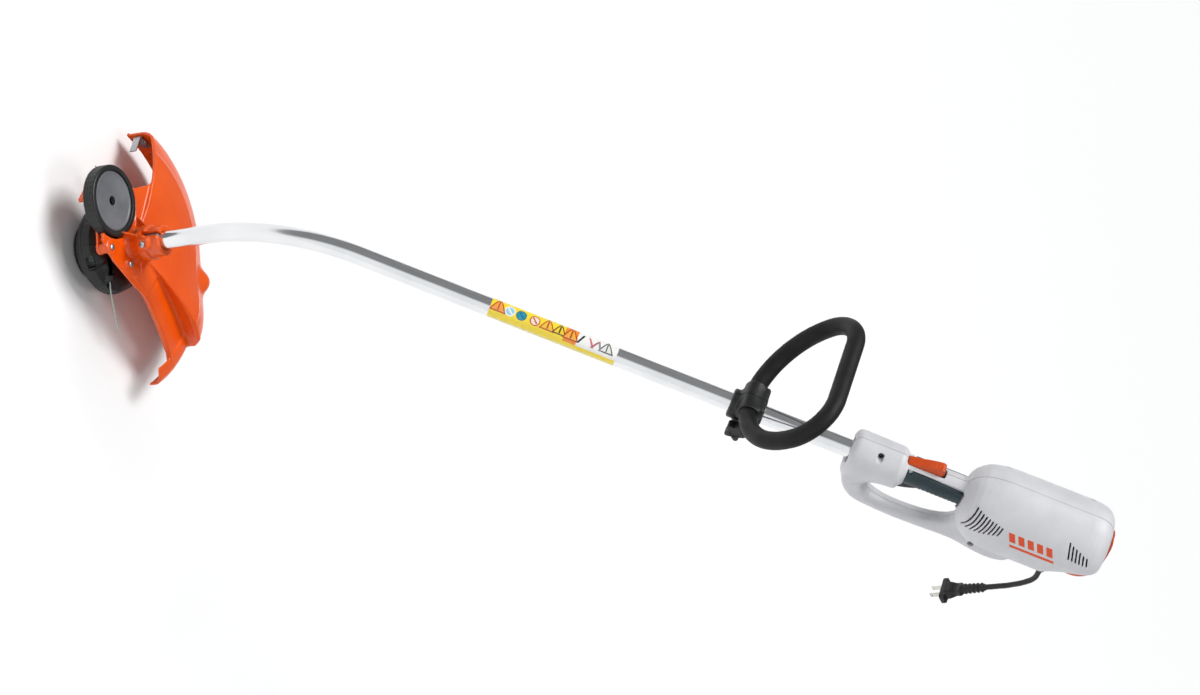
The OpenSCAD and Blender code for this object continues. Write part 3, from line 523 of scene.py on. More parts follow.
FINISHES: dict[str, Finish] = {
    # Glass-filled polyamide from a spark-eroded mould: an even pale grey that scatters light softly
    "shell": MarkedShell("polyamide_moulded_light_grey", "#CECED1", "#C5C5C9", (0.38, 0.5), pitch=0.9,
                         depth=0.02),
    # ABS from a polished mould: saturated orange with clear highlights
    "orange": Finish("abs_moulded_glossy_orange", "#EC5A00", "#E24E00", (0.22, 0.36), pitch=3, depth=0.03,
                     coat=0.12, mottle=60),
    # The same ABS on levers and hooks, with a finer mould texture
    "orange_satin": Finish("abs_moulded_satin_orange", "#CC4A02", "#BE3E00", (0.3, 0.42), pitch=0.8,
                           depth=0.02),
    # Polyamide moulded black, satin, as cases and clamps are
    "black": Finish("polyamide_moulded_black", "#141516", "#0D0E0F", (0.36, 0.52), pitch=0.8, depth=0.04),
    # Polyamide rubbed on the ground: greyer and duller
    "worn_black": Finish("polyamide_worn_black", "#212224", "#141516", (0.42, 0.64), pitch=0.7,
                         depth=0.06, mottle=9),
    # Polypropylene disc of the wheel, mid grey with a soft shine
    "disc": Finish("polypropylene_moulded_grey", "#6E7074", "#5C5F63", (0.35, 0.5), pitch=1.2, depth=0.03),
    # Foamed rubber sleeve: near black, dull, with a fine pebbled skin
    "foam": Finish("nitrile_foam_sleeve_black", "#101011", "#09090A", (0.5, 0.7), Grain.PEBBLE, 1.4, 0.12,
                   ior=1.38, mottle=18),
    # Thermoplastic rubber moulded over the grip: dark blue-green black with pebbled skin
    "grip": Finish("tpe_moulded_dark_teal", "#17343C", "#0D2127", (0.45, 0.62), Grain.PEBBLE, 1.6, 0.12,
                   sheen=0.05, mottle=25),
    # Drawn and anodised aluminium: bright, with faint lines along it that stretch highlights
    "tube": Finish("aluminium_drawn_anodised", "#EFF0F1", "#E4E5E7", (0.12, 0.2), Grain.DRAWN, 0.5, 0.01,
                   metallic=1.0, mottle=60),
    # Aluminium as cast: grainy and dull
    "cast": Finish("aluminium_die_cast", "#A9ACAF", "#95989B", (0.4, 0.55), pitch=1.5, depth=0.08,
                   metallic=1.0),
    # Turned steel: fine rings that spread highlights
    "steel": Finish("steel_turned", "#B4B7BA", "#9B9FA3", (0.22, 0.36), Grain.TURNED, 0.4, 0.01,
                    metallic=1.0),
    # Zinc plated screw steel: bluish white, slightly cloudy
    "zinc": Finish("steel_zinc_plated", "#C9CED3", "#AEB6BE", (0.2, 0.34), pitch=1.2, depth=0.01,
                   metallic=1.0,
                   mottle=4),
    # Blackened screw steel; on the wheel's axle its dark colour is also painted shade for the wheel's dark
    # centre hole
    "dark_screw": Finish("steel_blackened_and_hole_shade", "#45484B", "#2F3235", (0.35, 0.5), pitch=0.8, depth=0.01,
                         metallic=1.0),
    # Nickel on the plug's brass blades: bright and warm
    "nickel": Finish("brass_nickel_plated", "#D9D7D0", "#C6C3BA", (0.1, 0.2), pitch=2, depth=0.005,
                     metallic=1.0),
    # Plasticised PVC of the lead: black, satin, faintly uneven from extrusion
    "pvc": Finish("pvc_extruded_black", "#0C0C0D", "#080809", (0.35, 0.5), pitch=2.5, depth=0.03, mottle=12),
    # Extruded nylon line: pale grey-green and slightly clear
    "line": Finish("nylon_line_extruded", "#B9C6BC", "#A3B3A8", (0.25, 0.4), pitch=1.0, depth=0.01, ior=1.53,
                   clear=0.15),
    # Printed polyester film under a clear varnish
    "film": PrintedFilm("polyester_film_printed", "#F2B92B", "#F2B92B", (0.2, 0.32), pitch=4,
                        depth=0.01, coat=0.3,
                        ior=1.6),
    # Enamelled copper wire laid in turns
    "copper": Finish("copper_wire_enamelled", "#B4622C", "#8E4519", (0.25, 0.4), Grain.WOUND, 1.2, 0.3,
                     metallic=1.0),
    # Bare copper bars, turned
    "copper_bar": Finish("copper_turned", "#C0703A", "#A65B2B", (0.2, 0.35), Grain.TURNED, 0.5, 0.02,
                         metallic=1.0),
    # Stacked silicon steel sheets, blued edges
    "sheets": Finish("silicon_steel_stacked", "#6E7276", "#55595D", (0.35, 0.5), Grain.STACKED, 1.0, 0.15,
                     metallic=1.0),
    # Pressed carbon: soft black, dull
    "carbon": Finish("carbon_pressed", "#242424", "#1A1A1A", (0.6, 0.8), pitch=0.5, depth=0.05),
    # Stamped brass
    "brass": Finish("brass_stamped", "#C9A24D", "#B48C3A", (0.25, 0.4), pitch=2, depth=0.01, metallic=1.0),
    # Polyester box of the capacitor
    "blue_box": Finish("polyester_box_blue", "#2F5B96", "#274C80", (0.25, 0.35), pitch=1.5, depth=0.02),
    # Extruded polyethylene liner: milky white
    "liner": Finish("polyethylene_extruded_natural", "#E6E3DA", "#D8D5CB", (0.35, 0.5), pitch=2, depth=0.02),
    # Spring steel wire, drawn
    "wire": Finish("spring_steel_drawn", "#B9BDC1", "#9EA2A6", (0.18, 0.3), pitch=1.0, depth=0.01,
                   metallic=1.0),
}


# ---- adding pieces ----

@dataclass
class Bench:
    """Turns shapes into finished pieces and dresses the CAD nodes that stay."""
    materials: dict[str, bpy.types.Material] = field(default_factory=dict)
    made: int = 0

    def material(self, finish: str) -> bpy.types.Material:
        """The material of a finish, built the first time it is asked for.

        Args:
            finish: Key of the finish.

        Returns:
            The material.
        """
        if finish not in self.materials:
            self.materials[finish] = FINISHES[finish].build()
        return self.materials[finish]

    def add(self, name: str, shape: Shape, body: str, slot: str, finish: str, replaces: Sequence[str] = (),
            place: Optional[Matrix] = None, sharp: float = 45.0) -> bpy.types.Object:
        """Adds one piece to the model.

        Args:
            name: The piece's name.
            shape: Its shape, in millimetres, in the frame that place gives.
            body: The CAD body that it moves with.
            slot: The record's material slot; not used.
            finish: Key of its finish.
            replaces: The CAD nodes that it stands for.
            place: The shape's own frame, with its shift in millimetres.
            sharp: Edges that turn by more than this many degrees stay crisp.

        Returns:
            The piece.
        """
        mesh = bpy.data.meshes.new(name)
        mesh.from_pydata((shape.points * MM).tolist(), [], shape.faces)
        mesh.update()
        mesh.shade_smooth()
        mesh.set_sharp_from_angle(angle=math.radians(sharp))
        if shape.uv is not None:
            layer = mesh.uv_layers.new(name="run")
            corner = np.empty(len(mesh.loops), np.int32)
            mesh.loops.foreach_get("vertex_index", corner)
            layer.data.foreach_set("uv", shape.uv[corner].astype(np.float32).ravel())
        piece = bpy.data.objects.new(name, mesh)
        bpy.context.scene.collection.objects.link(piece)
        if place is not None:
            world = place.copy()
            world.translation *= MM
            piece.matrix_world = world
        piece.data.materials.append(self.material(finish))
        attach(piece, body)
        if replaces:
            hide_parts(*replaces)
        self.made += 1
        LOG.info("%s: %d faces, rides on %s", name, len(shape.faces), body)
        return piece

    def dress(self, finish: str, *nodes: str) -> None:
        """Gives CAD nodes that stay a finish.

        Args:
            finish: Key of the finish.
            nodes: Names of the CAD nodes.
        """
        for node in nodes:
            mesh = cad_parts[node].data
            mesh.materials.clear()
            mesh.materials.append(self.material(finish))
            LOG.info("%s: CAD node in %s", node, finish)


# ---- the tube's frame ----

@dataclass(frozen=True)
class Rail:
    """The drive tube's centre line: straight down to the head, one bend, and straight to the rear."""
    bend_start: float = 190.0
    bend_radius: float = 327.0
    bend_angle: float = 39.0
    straight: float = 744.0
    low: float = 98.0

    def frame(self, s: float = 0.0, u: float = 0.0, lean: float = 0.0) -> Matrix:
        """Frame on the straight tube: X along it, Y to the right, Z off it.

        Args:
            s: Distance behind the bend.
            u: Height off the tube's axis.
            lean: Degrees that Z leans rearwards.

        Returns:
            The frame, its shift in millimetres.
        """
        bend = math.radians(self.bend_angle)
        end = Vector((self.bend_radius * (1 - math.cos(bend)), 0,
                      self.bend_start + self.bend_radius * math.sin(bend)))
        turn = Matrix.Rotation(bend - math.pi / 2, 4, "Y")
        return (Matrix.Translation(end) @ turn @ Matrix.Translation((s, 0, u))
                @ Matrix.Rotation(math.radians(lean), 4, "Y"))

    def centre_line(self) -> Array:
        """Points along the whole tube, close together in the bend.

        Returns:
            The points, one per row.
        """
        bend = np.radians(np.linspace(0, self.bend_angle, 40))
        curve = np.stack([self.bend_radius * (1 - np.cos(bend)), 0 * bend,
                          self.bend_start + self.bend_radius * np.sin(bend)], 1)
        front = np.array([[0, 0, z] for z in np.linspace(self.low, self.bend_start, 6)[:-1]])
        place = self.frame()
        rear = np.array([place @ Vector((s, 0, 0)) for s in np.linspace(0, self.straight, 30)[1:]])
        return np.vstack([front, curve, rear])


RAIL = Rail()


# ---- mains lead ----

@dataclass
class MainsLead:
    """Gland, lead and two-blade plug below the motor."""
    route: tuple = ((758, 0, 1114), (763, 0, 1109), (768, 0, 1105), (773, 0, 1101), (777, 0, 1096),
                    (780, 0, 1090), (782, 0, 1083), (784, 0, 1074), (785, 0, 1064), (786, 0, 1054),
                    (786, 0, 1044), (786, 0, 1034), (786, 0, 1023))
    cord_d: float = 7.5
    gland_at: float = 990.0
    gland_top: float = -53.5
    gland_length: float = 32.0
    ribs: int = 6
    plug_top: float = 1024.0

    def cord(self, bench: Bench) -> bpy.types.Object:
        """The lead itself, a round bar on the route.

        Args:
            bench: Makes the pieces and dresses the nodes.

        Returns:
            The piece.
        """
        path = smooth_line(self.route, 3)
        return bench.add("lead", sweep(path, self.cord_d / 2, 20), "chassis", "cord_black", "pvc",
                         ["power_cord"])

    def gland(self, bench: Bench) -> bpy.types.Object:
        """Tapered strain relief with ring-shaped ribs, pointing off the housing's underside.

        Args:
            bench: Makes the pieces and dresses the nodes.

        Returns:
            The piece.
        """
        rows = [(0.01, 0), (8, 0), (8, 8)]
        for i in range(self.ribs):
            z = 9.0 + i * 3.6
            r = 7.0 - 0.36 * i
            rows += [(r - 0.9, z), (r, z + 0.5), (r, z + 2.2), (r - 0.9, z + 2.7)]
        mouth, tip = self.cord_d / 2, self.gland_length
        rows += [(mouth + 0.6, tip - 1), (mouth + 0.1, tip), (0.01, tip)]
        shape = lathe([(r, -z) for r, z in rows][::-1], 40)
        place = RAIL.frame(self.gland_at, self.gland_top)
        return bench.add("cord_relief", shape, "chassis", "cord_black", "pvc", ["cord_gland"], place, 60)

    def body(self, x: Array, y: Array, z: Array) -> Array:
        """Field of the plug: ribbed relief above, waisted body, finger flange below.

        Args:
            x: Coordinates along the frame's X.
            y: Coordinates along its Y.
            z: Coordinates along its Z.

        Returns:
            Signed distances.
        """
        across = np.hypot(x, y)
        relief = meet(across - (self.cord_d / 2 + 0.9 - z * 0.055), np.abs(z + 18) - 18, 0.8)
        ribs = carve(across - (self.cord_d / 2 + 2.6 - z * 0.03), 1.1 - np.abs((z + 500) % 6 - 3), 0.4)
        ribs = meet(ribs, np.abs(z + 17) - 15, 0.5)
        waist = 12 - 4.2 * np.exp(-((z + 40) / 8.0) ** 2)
        shell = block(x, y, 8, 12, 5.5) + (12 - waist) * 0.75
        shell = meet(shell, np.abs(z + 46) - 12.5, 5)
        flange = meet(block(x, y, 8, 18, 4), np.abs(z + 59.5) - 3.5, 1.4)
        body = join(join(relief, ribs, 1.0), shell, 3)
        grips = np.abs((z + 500) % 3.2 - 1.6) - 0.5
        body = carve(body, meet(np.maximum(grips, np.abs(z + 47) - 6), 7.4 - np.abs(x), 0.3), 0.3)
        return join(body, flange, 2)

    def build(self, bench: Bench) -> None:
        """Args:
            bench: Makes the pieces and dresses the nodes.
        """
        cord = self.cord(bench)
        relief = self.gland(bench)
        shape = net(self.body, (-9, -19, -64), (9, 19, 1), 0.6)
        plug = bench.add("plug", shape, "chassis", "plug_black", "pvc", ["plug_body"],
                         Matrix.Translation((self.route[-1][0], 0, self.plug_top)))
        bench.dress("nickel", "plug_blades")
        path = smooth_line(self.route, 3) * MM


# ---- drive tube and its label ----

@dataclass
class DriveTube:
    """Bent aluminium tube with a wrapped label."""
    radius: float = 12.7
    label_front: float = 183.0
    label_length: float = 178.0
    label_facing: float = 42.0
    film: float = 0.25
    step: float = 0.5

    def print_on(self, v: Array, w: Array) -> Array:
        """Colours of the label: plain signs without lettering.

        Args:
            v: Distance from the label's front edge, in millimetres.
            w: Distance round the tube from the label's middle line.

        Returns:
            Linear colours, one row per point.
        """
        colour = np.tile(np.array(srgb("#F8DC2C")), (len(v), 1))

        def paint(mask: Array, code: str) -> None:
            """Colours the points that the mask names."""
            colour[mask] = srgb(code)

        paint(w < -12, "#EBDD8C")
        paint((v > 119) & (w > -6), "#F4F4F0")
        paint((np.abs(v - 113) < 9) & (w > -6), "#F08A24")
        signs = ((11, 5.4, "#B5341C", "#F3A04A"), (27, 0, "#F4F6F6", "#9CCFE8"),
                 (43, 0, "#0E6F88", "#1B93AE"), (62, 0, "#C23A20", "#F6E3D2"),
                 (80, 5.0, "#B5341C", "#F0C23C"), (97, 4.4, "#3A2A18", "#F6D02C"),
                 (113, 5.2, "#A92C18", "#F6B03A"), (163, 4.6, "#26282A", "#E8E8E4"))
        for centre, side, rim, fill in signs:
            a, b = v - centre, w - 5
            edge = np.maximum(np.abs(a) * 0.87 + b * 0.5, -b) - side if side else np.hypot(a, b) - 5.6
            paint(edge < 1.5, rim)
            paint(edge < 0, fill)
            mark = np.abs(a) < 0.9 if side else np.abs(a * 0.7 + b * 0.7) < 1.0
            paint(mark & (edge < -0.6), rim)
        for centre, lean, code in ((127, 0.5, "#1F2123"), (141, -0.6, "#C96A78"), (147, 0.7, "#B9566A"),
                                   (153, -0.4, "#8E8F98")):
            a, b = v - centre - lean * (w - 5), w - 5
            paint((np.abs(a) < 1.5) & (np.abs(b) < 6.5), code)
        return colour

    def build(self, bench: Bench) -> None:
        """Adds the tube and the label.

        Args:
            bench: Makes the pieces and dresses the nodes.
        """
        bench.add("tube", sweep(RAIL.centre_line(), self.radius, 64), "chassis", "tube_aluminium", "tube",
                  ["shaft_tube"], sharp=60)
        rows = int(self.label_length / self.step)
        v = np.linspace(0, self.label_length, rows)
        path = np.stack([v, 0 * v, 0 * v], 1)
        radii = np.full(rows, self.radius + self.film)
        radii[[0, -1]] -= 0.15
        shape = sweep(path, radii, 150, (0, 0, 1))
        piece = bench.add("label", shape, "chassis", "label_film", "film", ["info_label"],
                          RAIL.frame(self.label_front), 60)
        y, z = shape.points[:, 1], shape.points[:, 2]
        round_it = np.arctan2(-y, z) - math.radians(self.label_facing)
        round_it = (round_it + math.pi) % (2 * math.pi) - math.pi
        colours = self.print_on(shape.points[:, 0], -round_it * self.radius)
        layer = piece.data.color_attributes.new("print", "FLOAT_COLOR", "POINT")
        layer.data.foreach_set("color", colours.astype(np.float32).ravel())


# ---- loop handle ----

@dataclass
class LoopHandle:
    """Loop with a soft sleeve, held on the tube by a clamp in two halves, a bolt and a lobed knob."""
    at: float = 546.0
    base: float = 15.0
    lean: float = 39.0
    tube: float = 24.0
    half_w: float = 102.0
    height: float = 154.0
    gap: float = 13.0
    bolt_back: float = 4.0
    bolt_drop: float = 18.1
    tube_r: float = 12.7

    def path(self) -> Array:
        """Centre line of the loop in its own plane, from one socket round to the other.

        Returns:
            The points, one per row.
        """
        corner = self.height - self.half_w
        flat = self.half_w - corner
        low = np.radians(np.linspace(self.gap - 90, 0, 30))
        high = np.radians(np.linspace(0, 90, 20))[1:]
        side = np.vstack([np.stack([self.half_w * np.cos(low), self.half_w + self.half_w * np.sin(low)], 1),
                          np.stack([flat + corner * np.cos(high), self.half_w + corner * np.sin(high)], 1),
                          [[flat / 2, self.height]]])
        whole = np.vstack([side, [[0, self.height]], side[::-1] * (-1, 1)])
        return np.stack([0 * whole[:, 0], whole[:, 0], whole[:, 1]], 1)

    def clamp(self, side: int) -> Field:
        """Field of one clamp half, in the rail's frame at the loop: x along, z off the tube.

        Args:
            side: -1 for the left one, 1 for the right one.

        Returns:
            The field.
        """
        lean = math.radians(self.lean)

        def half(x: Array, y: Array, z: Array) -> Array:
            """Distance from the half.

            Args:
                x: Coordinates along the frame's X.
                y: Coordinates along its Y.
                z: Coordinates along its Z.

            Returns:
                Signed distances.
            """
            saddle = meet(np.hypot(y, z) - self.tube_r - 7, np.abs(x + 1.5) - 22.5, 4)
            ear = meet(np.hypot(x + self.bolt_back, z + self.bolt_drop) - 9.5, np.abs(y) - 20.7, 2)
            block_up = meet(block(x - 6, z - 14, 15, 15, 4), np.abs(y) - 22, 4)
            up = (z - self.base) * math.cos(lean) + x * math.sin(lean)
            along = x * math.cos(lean) - (z - self.base) * math.sin(lean)
            ring = np.hypot(np.hypot(y, up - self.half_w) - self.half_w, along)
            arm = meet(ring - self.tube / 2 - 2.6, np.abs(y) - 23.8, 2)
            arm = np.maximum(arm, up - 30)
            body = join(join(saddle, ear, 4), join(block_up, arm, 4), 5)
            body = carve(body, np.hypot(y, z) - self.tube_r - 0.05, 0.4)
            body = carve(body, ring - self.tube / 2 + 0.05, 0.5)
            body = carve(body, np.hypot(x + self.bolt_back, z + self.bolt_drop) - 3.05, 0.3)
            return meet(body, 0.25 - side * y, 0.6)
        return half

    def knob(self, x: Array, y: Array, z: Array) -> Array:
        """Field of the lobed knob, its axis along y from the clamp outwards to -y.

        Args:
            x: Coordinates along the frame's X.
            y: Coordinates along its Y.
            z: Coordinates along its Z.

        Returns:
            Signed distances.
        """
        angle = np.arctan2(z, x)
        rim = np.hypot(x, z) - 12.6 - 2.6 * np.cos(5 * angle)
        body = meet(rim, np.abs(y + 6.3) - 6.2, 2.2)
        dish = meet(np.hypot(x, z) - 6.5, -y - 40, 1)
        body = carve(body, np.maximum(dish, y + 11.2), 1.2)
        return carve(body, np.maximum(np.hypot(x, z) - 3.05, -y - 8.6), 0.3)

    def bolt(self) -> Shape:
        """Bolt with a domed round head on the right, along the knob's axis."""
        head = [(0, 5), (3.5, 4.6), (6.2, 3.2), (7, 1.4), (7, 0.3), (6.7, 0), (3, 0), (3, -50), (0, -50)]
        return lathe(head[::-1], 40).moved(Matrix.Rotation(-math.pi / 2, 4, "X"))

    def build(self, bench: Bench) -> None:
        """Adds the loop, its clamp, bolt and knob.

        Args:
            bench: Makes the pieces and dresses the nodes.
        """
        sleeve = sweep(self.path(), self.tube / 2, 40, (1, 0, 0))
        bench.add("loop", sleeve, "loop", "loop_soft", "foam", ["loop_handle"],
                  RAIL.frame(self.at, self.base, self.lean), 60)
        place = RAIL.frame(self.at)
        for side, name, node in ((-1, "left_clamp", "clamp_left"), (1, "right_clamp", "clamp_right")):
            low = (-31, -36 if side < 0 else -1, -31)
            high = (42, 1 if side < 0 else 36, 45)
            bench.add(name, net(self.clamp(side), low, high, 0.9), "loop", "black_plastic", "black",
                      [node], place)
        axis = RAIL.frame(self.at - self.bolt_back, -self.bolt_drop)
        bolt = self.bolt().moved(Matrix.Translation((0, 20.7, 0)))
        bench.add("clamp_screw", bolt, "loop", "zinc_steel", "zinc", ["clamp_bolt"], axis, 50)
        knob = net(self.knob, (-16, -13, -16), (16, 0.5, 16), 0.6).moved(Matrix.Translation((0, -21.1, 0)))
        bench.add("knob", knob, "knob", "black_plastic", "black", ["clamp_knob"], axis)


# ---- mowing head ----

@dataclass
class MowingHead:
    """Black case, lower cover and tap button, with two line ends coming out of metal eyelets."""
    radius: float = 62.0
    arbor_r: float = 5.0
    button_r: float = 27.0
    eyelet: tuple = (12, -48.7, 49.1)
    eyelet_turn: tuple = (0, 104, -30)
    line_route: tuple = ((9, -47, 50), (16, -51, 48), (26, -55, 45), (40, -59, 41), (56, -63, 37),
                         (72, -67, 33), (88, -71, 30))
    line_d: float = 2.0

    def __post_init__(self) -> None:
        """Draws the turned outlines once."""
        r = self.radius
        self.case = Outline([(r - 3.5, 24), (r, 33), (r - 3, 43), (r - 10, 50), (r - 17, 55), (r - 26, 57),
                             (12, 57), (12, 54.5), (r - 27, 54.5), (r - 19, 52.5), (r - 12, 48),
                             (r - 5.5, 42), (r - 2.5, 33), (r - 6, 24)])
        self.cover = Outline([(27.4, 5), (32, 4), (42, 9), (52, 17.5), (58.5, 24), (56, 24), (49.5, 19),
                              (41, 12), (32, 7), (27.4, 8)])

    def eyelet_frame(self) -> Matrix:
        """Frame of the eyelet on the -Y side, Z along its bore.

        Returns:
            The frame, its shift in millimetres.
        """
        turn = (Matrix.Rotation(math.radians(self.eyelet_turn[2]), 4, "Z")
                @ Matrix.Rotation(math.radians(self.eyelet_turn[1]), 4, "Y"))
        return Matrix.Translation(self.eyelet) @ turn

    def case_field(self, x: Array, y: Array, z: Array) -> Array:
        """Upper case with ribs on its shoulder, two windows and two eyelet bosses.

        Args:
            x: Coordinates along the frame's X.
            y: Coordinates along its Y.
            z: Coordinates along its Z.

        Returns:
            Signed distances.
        """
        r = np.hypot(x, y)
        body = self.case(r, z)
        hub = meet(r - 12, np.abs(z - 43) - 15, 0.8)
        body = join(body, hub, 1.5)
        inverse = np.array(self.eyelet_frame().inverted())
        for turn in (0, 180):
            a, b = turned(x, y, turn)
            p, q, w = (row[0] * a + row[1] * b + row[2] * z + row[3] for row in inverse[:3])
            boss = meet(np.hypot(p, q) - 6.6, np.abs(w + 1) - 4.5, 1.2)
            body = join(body, boss, 2.5)
            body = carve(body, np.maximum(np.hypot(p, q) - 4.2, np.abs(w) - 30), 0.4)
            c, d = turned(x, y, turn - 112)
            window = np.maximum(block(d, z - 40.5, 10, 5, 2.5), 40 - c)
            body = carve(body, window, 0.8)
        for turn in range(0, 360, 30):
            a, b = turned(x, y, turn + 15)
            rib = np.maximum(meet(np.abs(b) - 1.1, self.case(r, z) - 1.3, 0.8), 38 - a)
            rib = np.maximum(rib, np.abs(z - 44) - 9.5)
            body = join(body, rib, 1.0)
        band = meet(r - self.radius + 0.4, np.abs(z - 28.5) - 1.6, 0.6)
        body = join(body, np.maximum(band, self.radius - 3.5 - r), 0.8)
        return carve(body, r - self.arbor_r - 0.02, 0.2)

    def cover_field(self, x: Array, y: Array, z: Array) -> Array:
        """Lower cover with six finger notches and a raised ring.

        Args:
            x: Coordinates along the frame's X.
            y: Coordinates along its Y.
            z: Coordinates along its Z.

        Returns:
            Signed distances.
        """
        r = np.hypot(x, y)
        body = self.cover(r, z)
        ring = np.hypot(r - 38, z - 4.2) - 1.4
        body = join(body, ring, 1.0)
        for turn in range(20, 380, 60):
            a, b = turned(x, y, turn)
            notch = np.maximum(block(b, z - 6, 5.5, 7.5, 2.5), 48 - a)
            body = carve(body, notch, 1.0)
        return body

    def button_field(self, x: Array, y: Array, z: Array) -> Array:
        """Tap button: flat face, rounded rim with eight notches, and the wall that pushes the spool.

        Args:
            x: Coordinates along the frame's X.
            y: Coordinates along its Y.
            z: Coordinates along its Z.

        Returns:
            Signed distances.
        """
        r = np.hypot(x, y)
        cup = meet(r - self.button_r + 1.2 * np.maximum(4.5 - z, 0), np.abs(z - 7.5) - 7.5, 2.2)
        cup = carve(cup, np.maximum(r - 23.6, 3.4 - z), 0.6)
        flange = np.maximum(np.abs(r - 28.5) - 2.4, np.abs(z - 9.8) - 1.2)
        body = join(cup, flange, 0.4)
        for turn in range(0, 360, 45):
            a, b = turned(x, y, turn)
            body = carve(body, np.maximum(block(b, z - 1, 1.3, 2.4, 0.8), 22 - a), 0.6)
        return carve(body, meet(np.abs(r - 12) - 1.0, z - 0.7, 0.3), 0.3)

    def eyelets(self) -> Shape:
        """Turned sleeves with a rolled collar.

        Returns:
            The shape.
        """
        bore, collar = self.line_d / 2 + 0.5, 5.2
        rows = [(bore, -3), (4, -3), (4, 2), (collar - 0.5, 2), (collar, 2.4), (collar, 3.1),
                (collar - 0.6, 3.6), (bore + 0.8, 3.6), (bore, 3.0)]
        one = lathe(rows, 36).moved(self.eyelet_frame())
        return Shape.group([one, one.moved(Matrix.Rotation(math.pi, 4, "Z"))])

    def build(self, bench: Bench) -> None:
        """Adds the head's pieces.

        Args:
            bench: Makes the pieces and dresses the nodes.
        """
        r = self.radius
        bench.add("head_case", net(self.case_field, (-r - 1, -r - 1, 23), (r + 1, r + 1, 58), 0.9), "head",
                  "black_plastic", "black", ["spool_housing"])
        bench.add("head_cover", net(self.cover_field, (-60, -60, 2), (60, 60, 25), 0.9), "head",
                  "black_plastic", "worn_black", ["spool_cap"])
        bench.add("button", net(self.button_field, (-32, -32, 0), (32, 32, 15), 0.8), "spool", "button_black",
                  "worn_black", ["tap_button"])
        bench.add("eyelets", self.eyelets(), "head", "zinc_steel", "zinc", ["line_eyelets"], sharp=35)
        route = smooth_line(self.line_route, 6)
        for end, turn in (("a", 0.0), ("b", math.pi)):
            line = sweep(route, self.line_d / 2, 12).moved(Matrix.Rotation(turn, 4, "Z"))
            bench.add("line_end_" + end, line, "head", "nylon_line", "line", ["cutting_line_" + end],
                      sharp=70)
        bench.dress("black", "line_spool")
        bench.dress("line", "wound_line")
        bench.dress("wire", "spool_spring")
        bench.dress("steel", "head_arbor", "flex_end_lower", "head_bearings")


# ---- guard ----

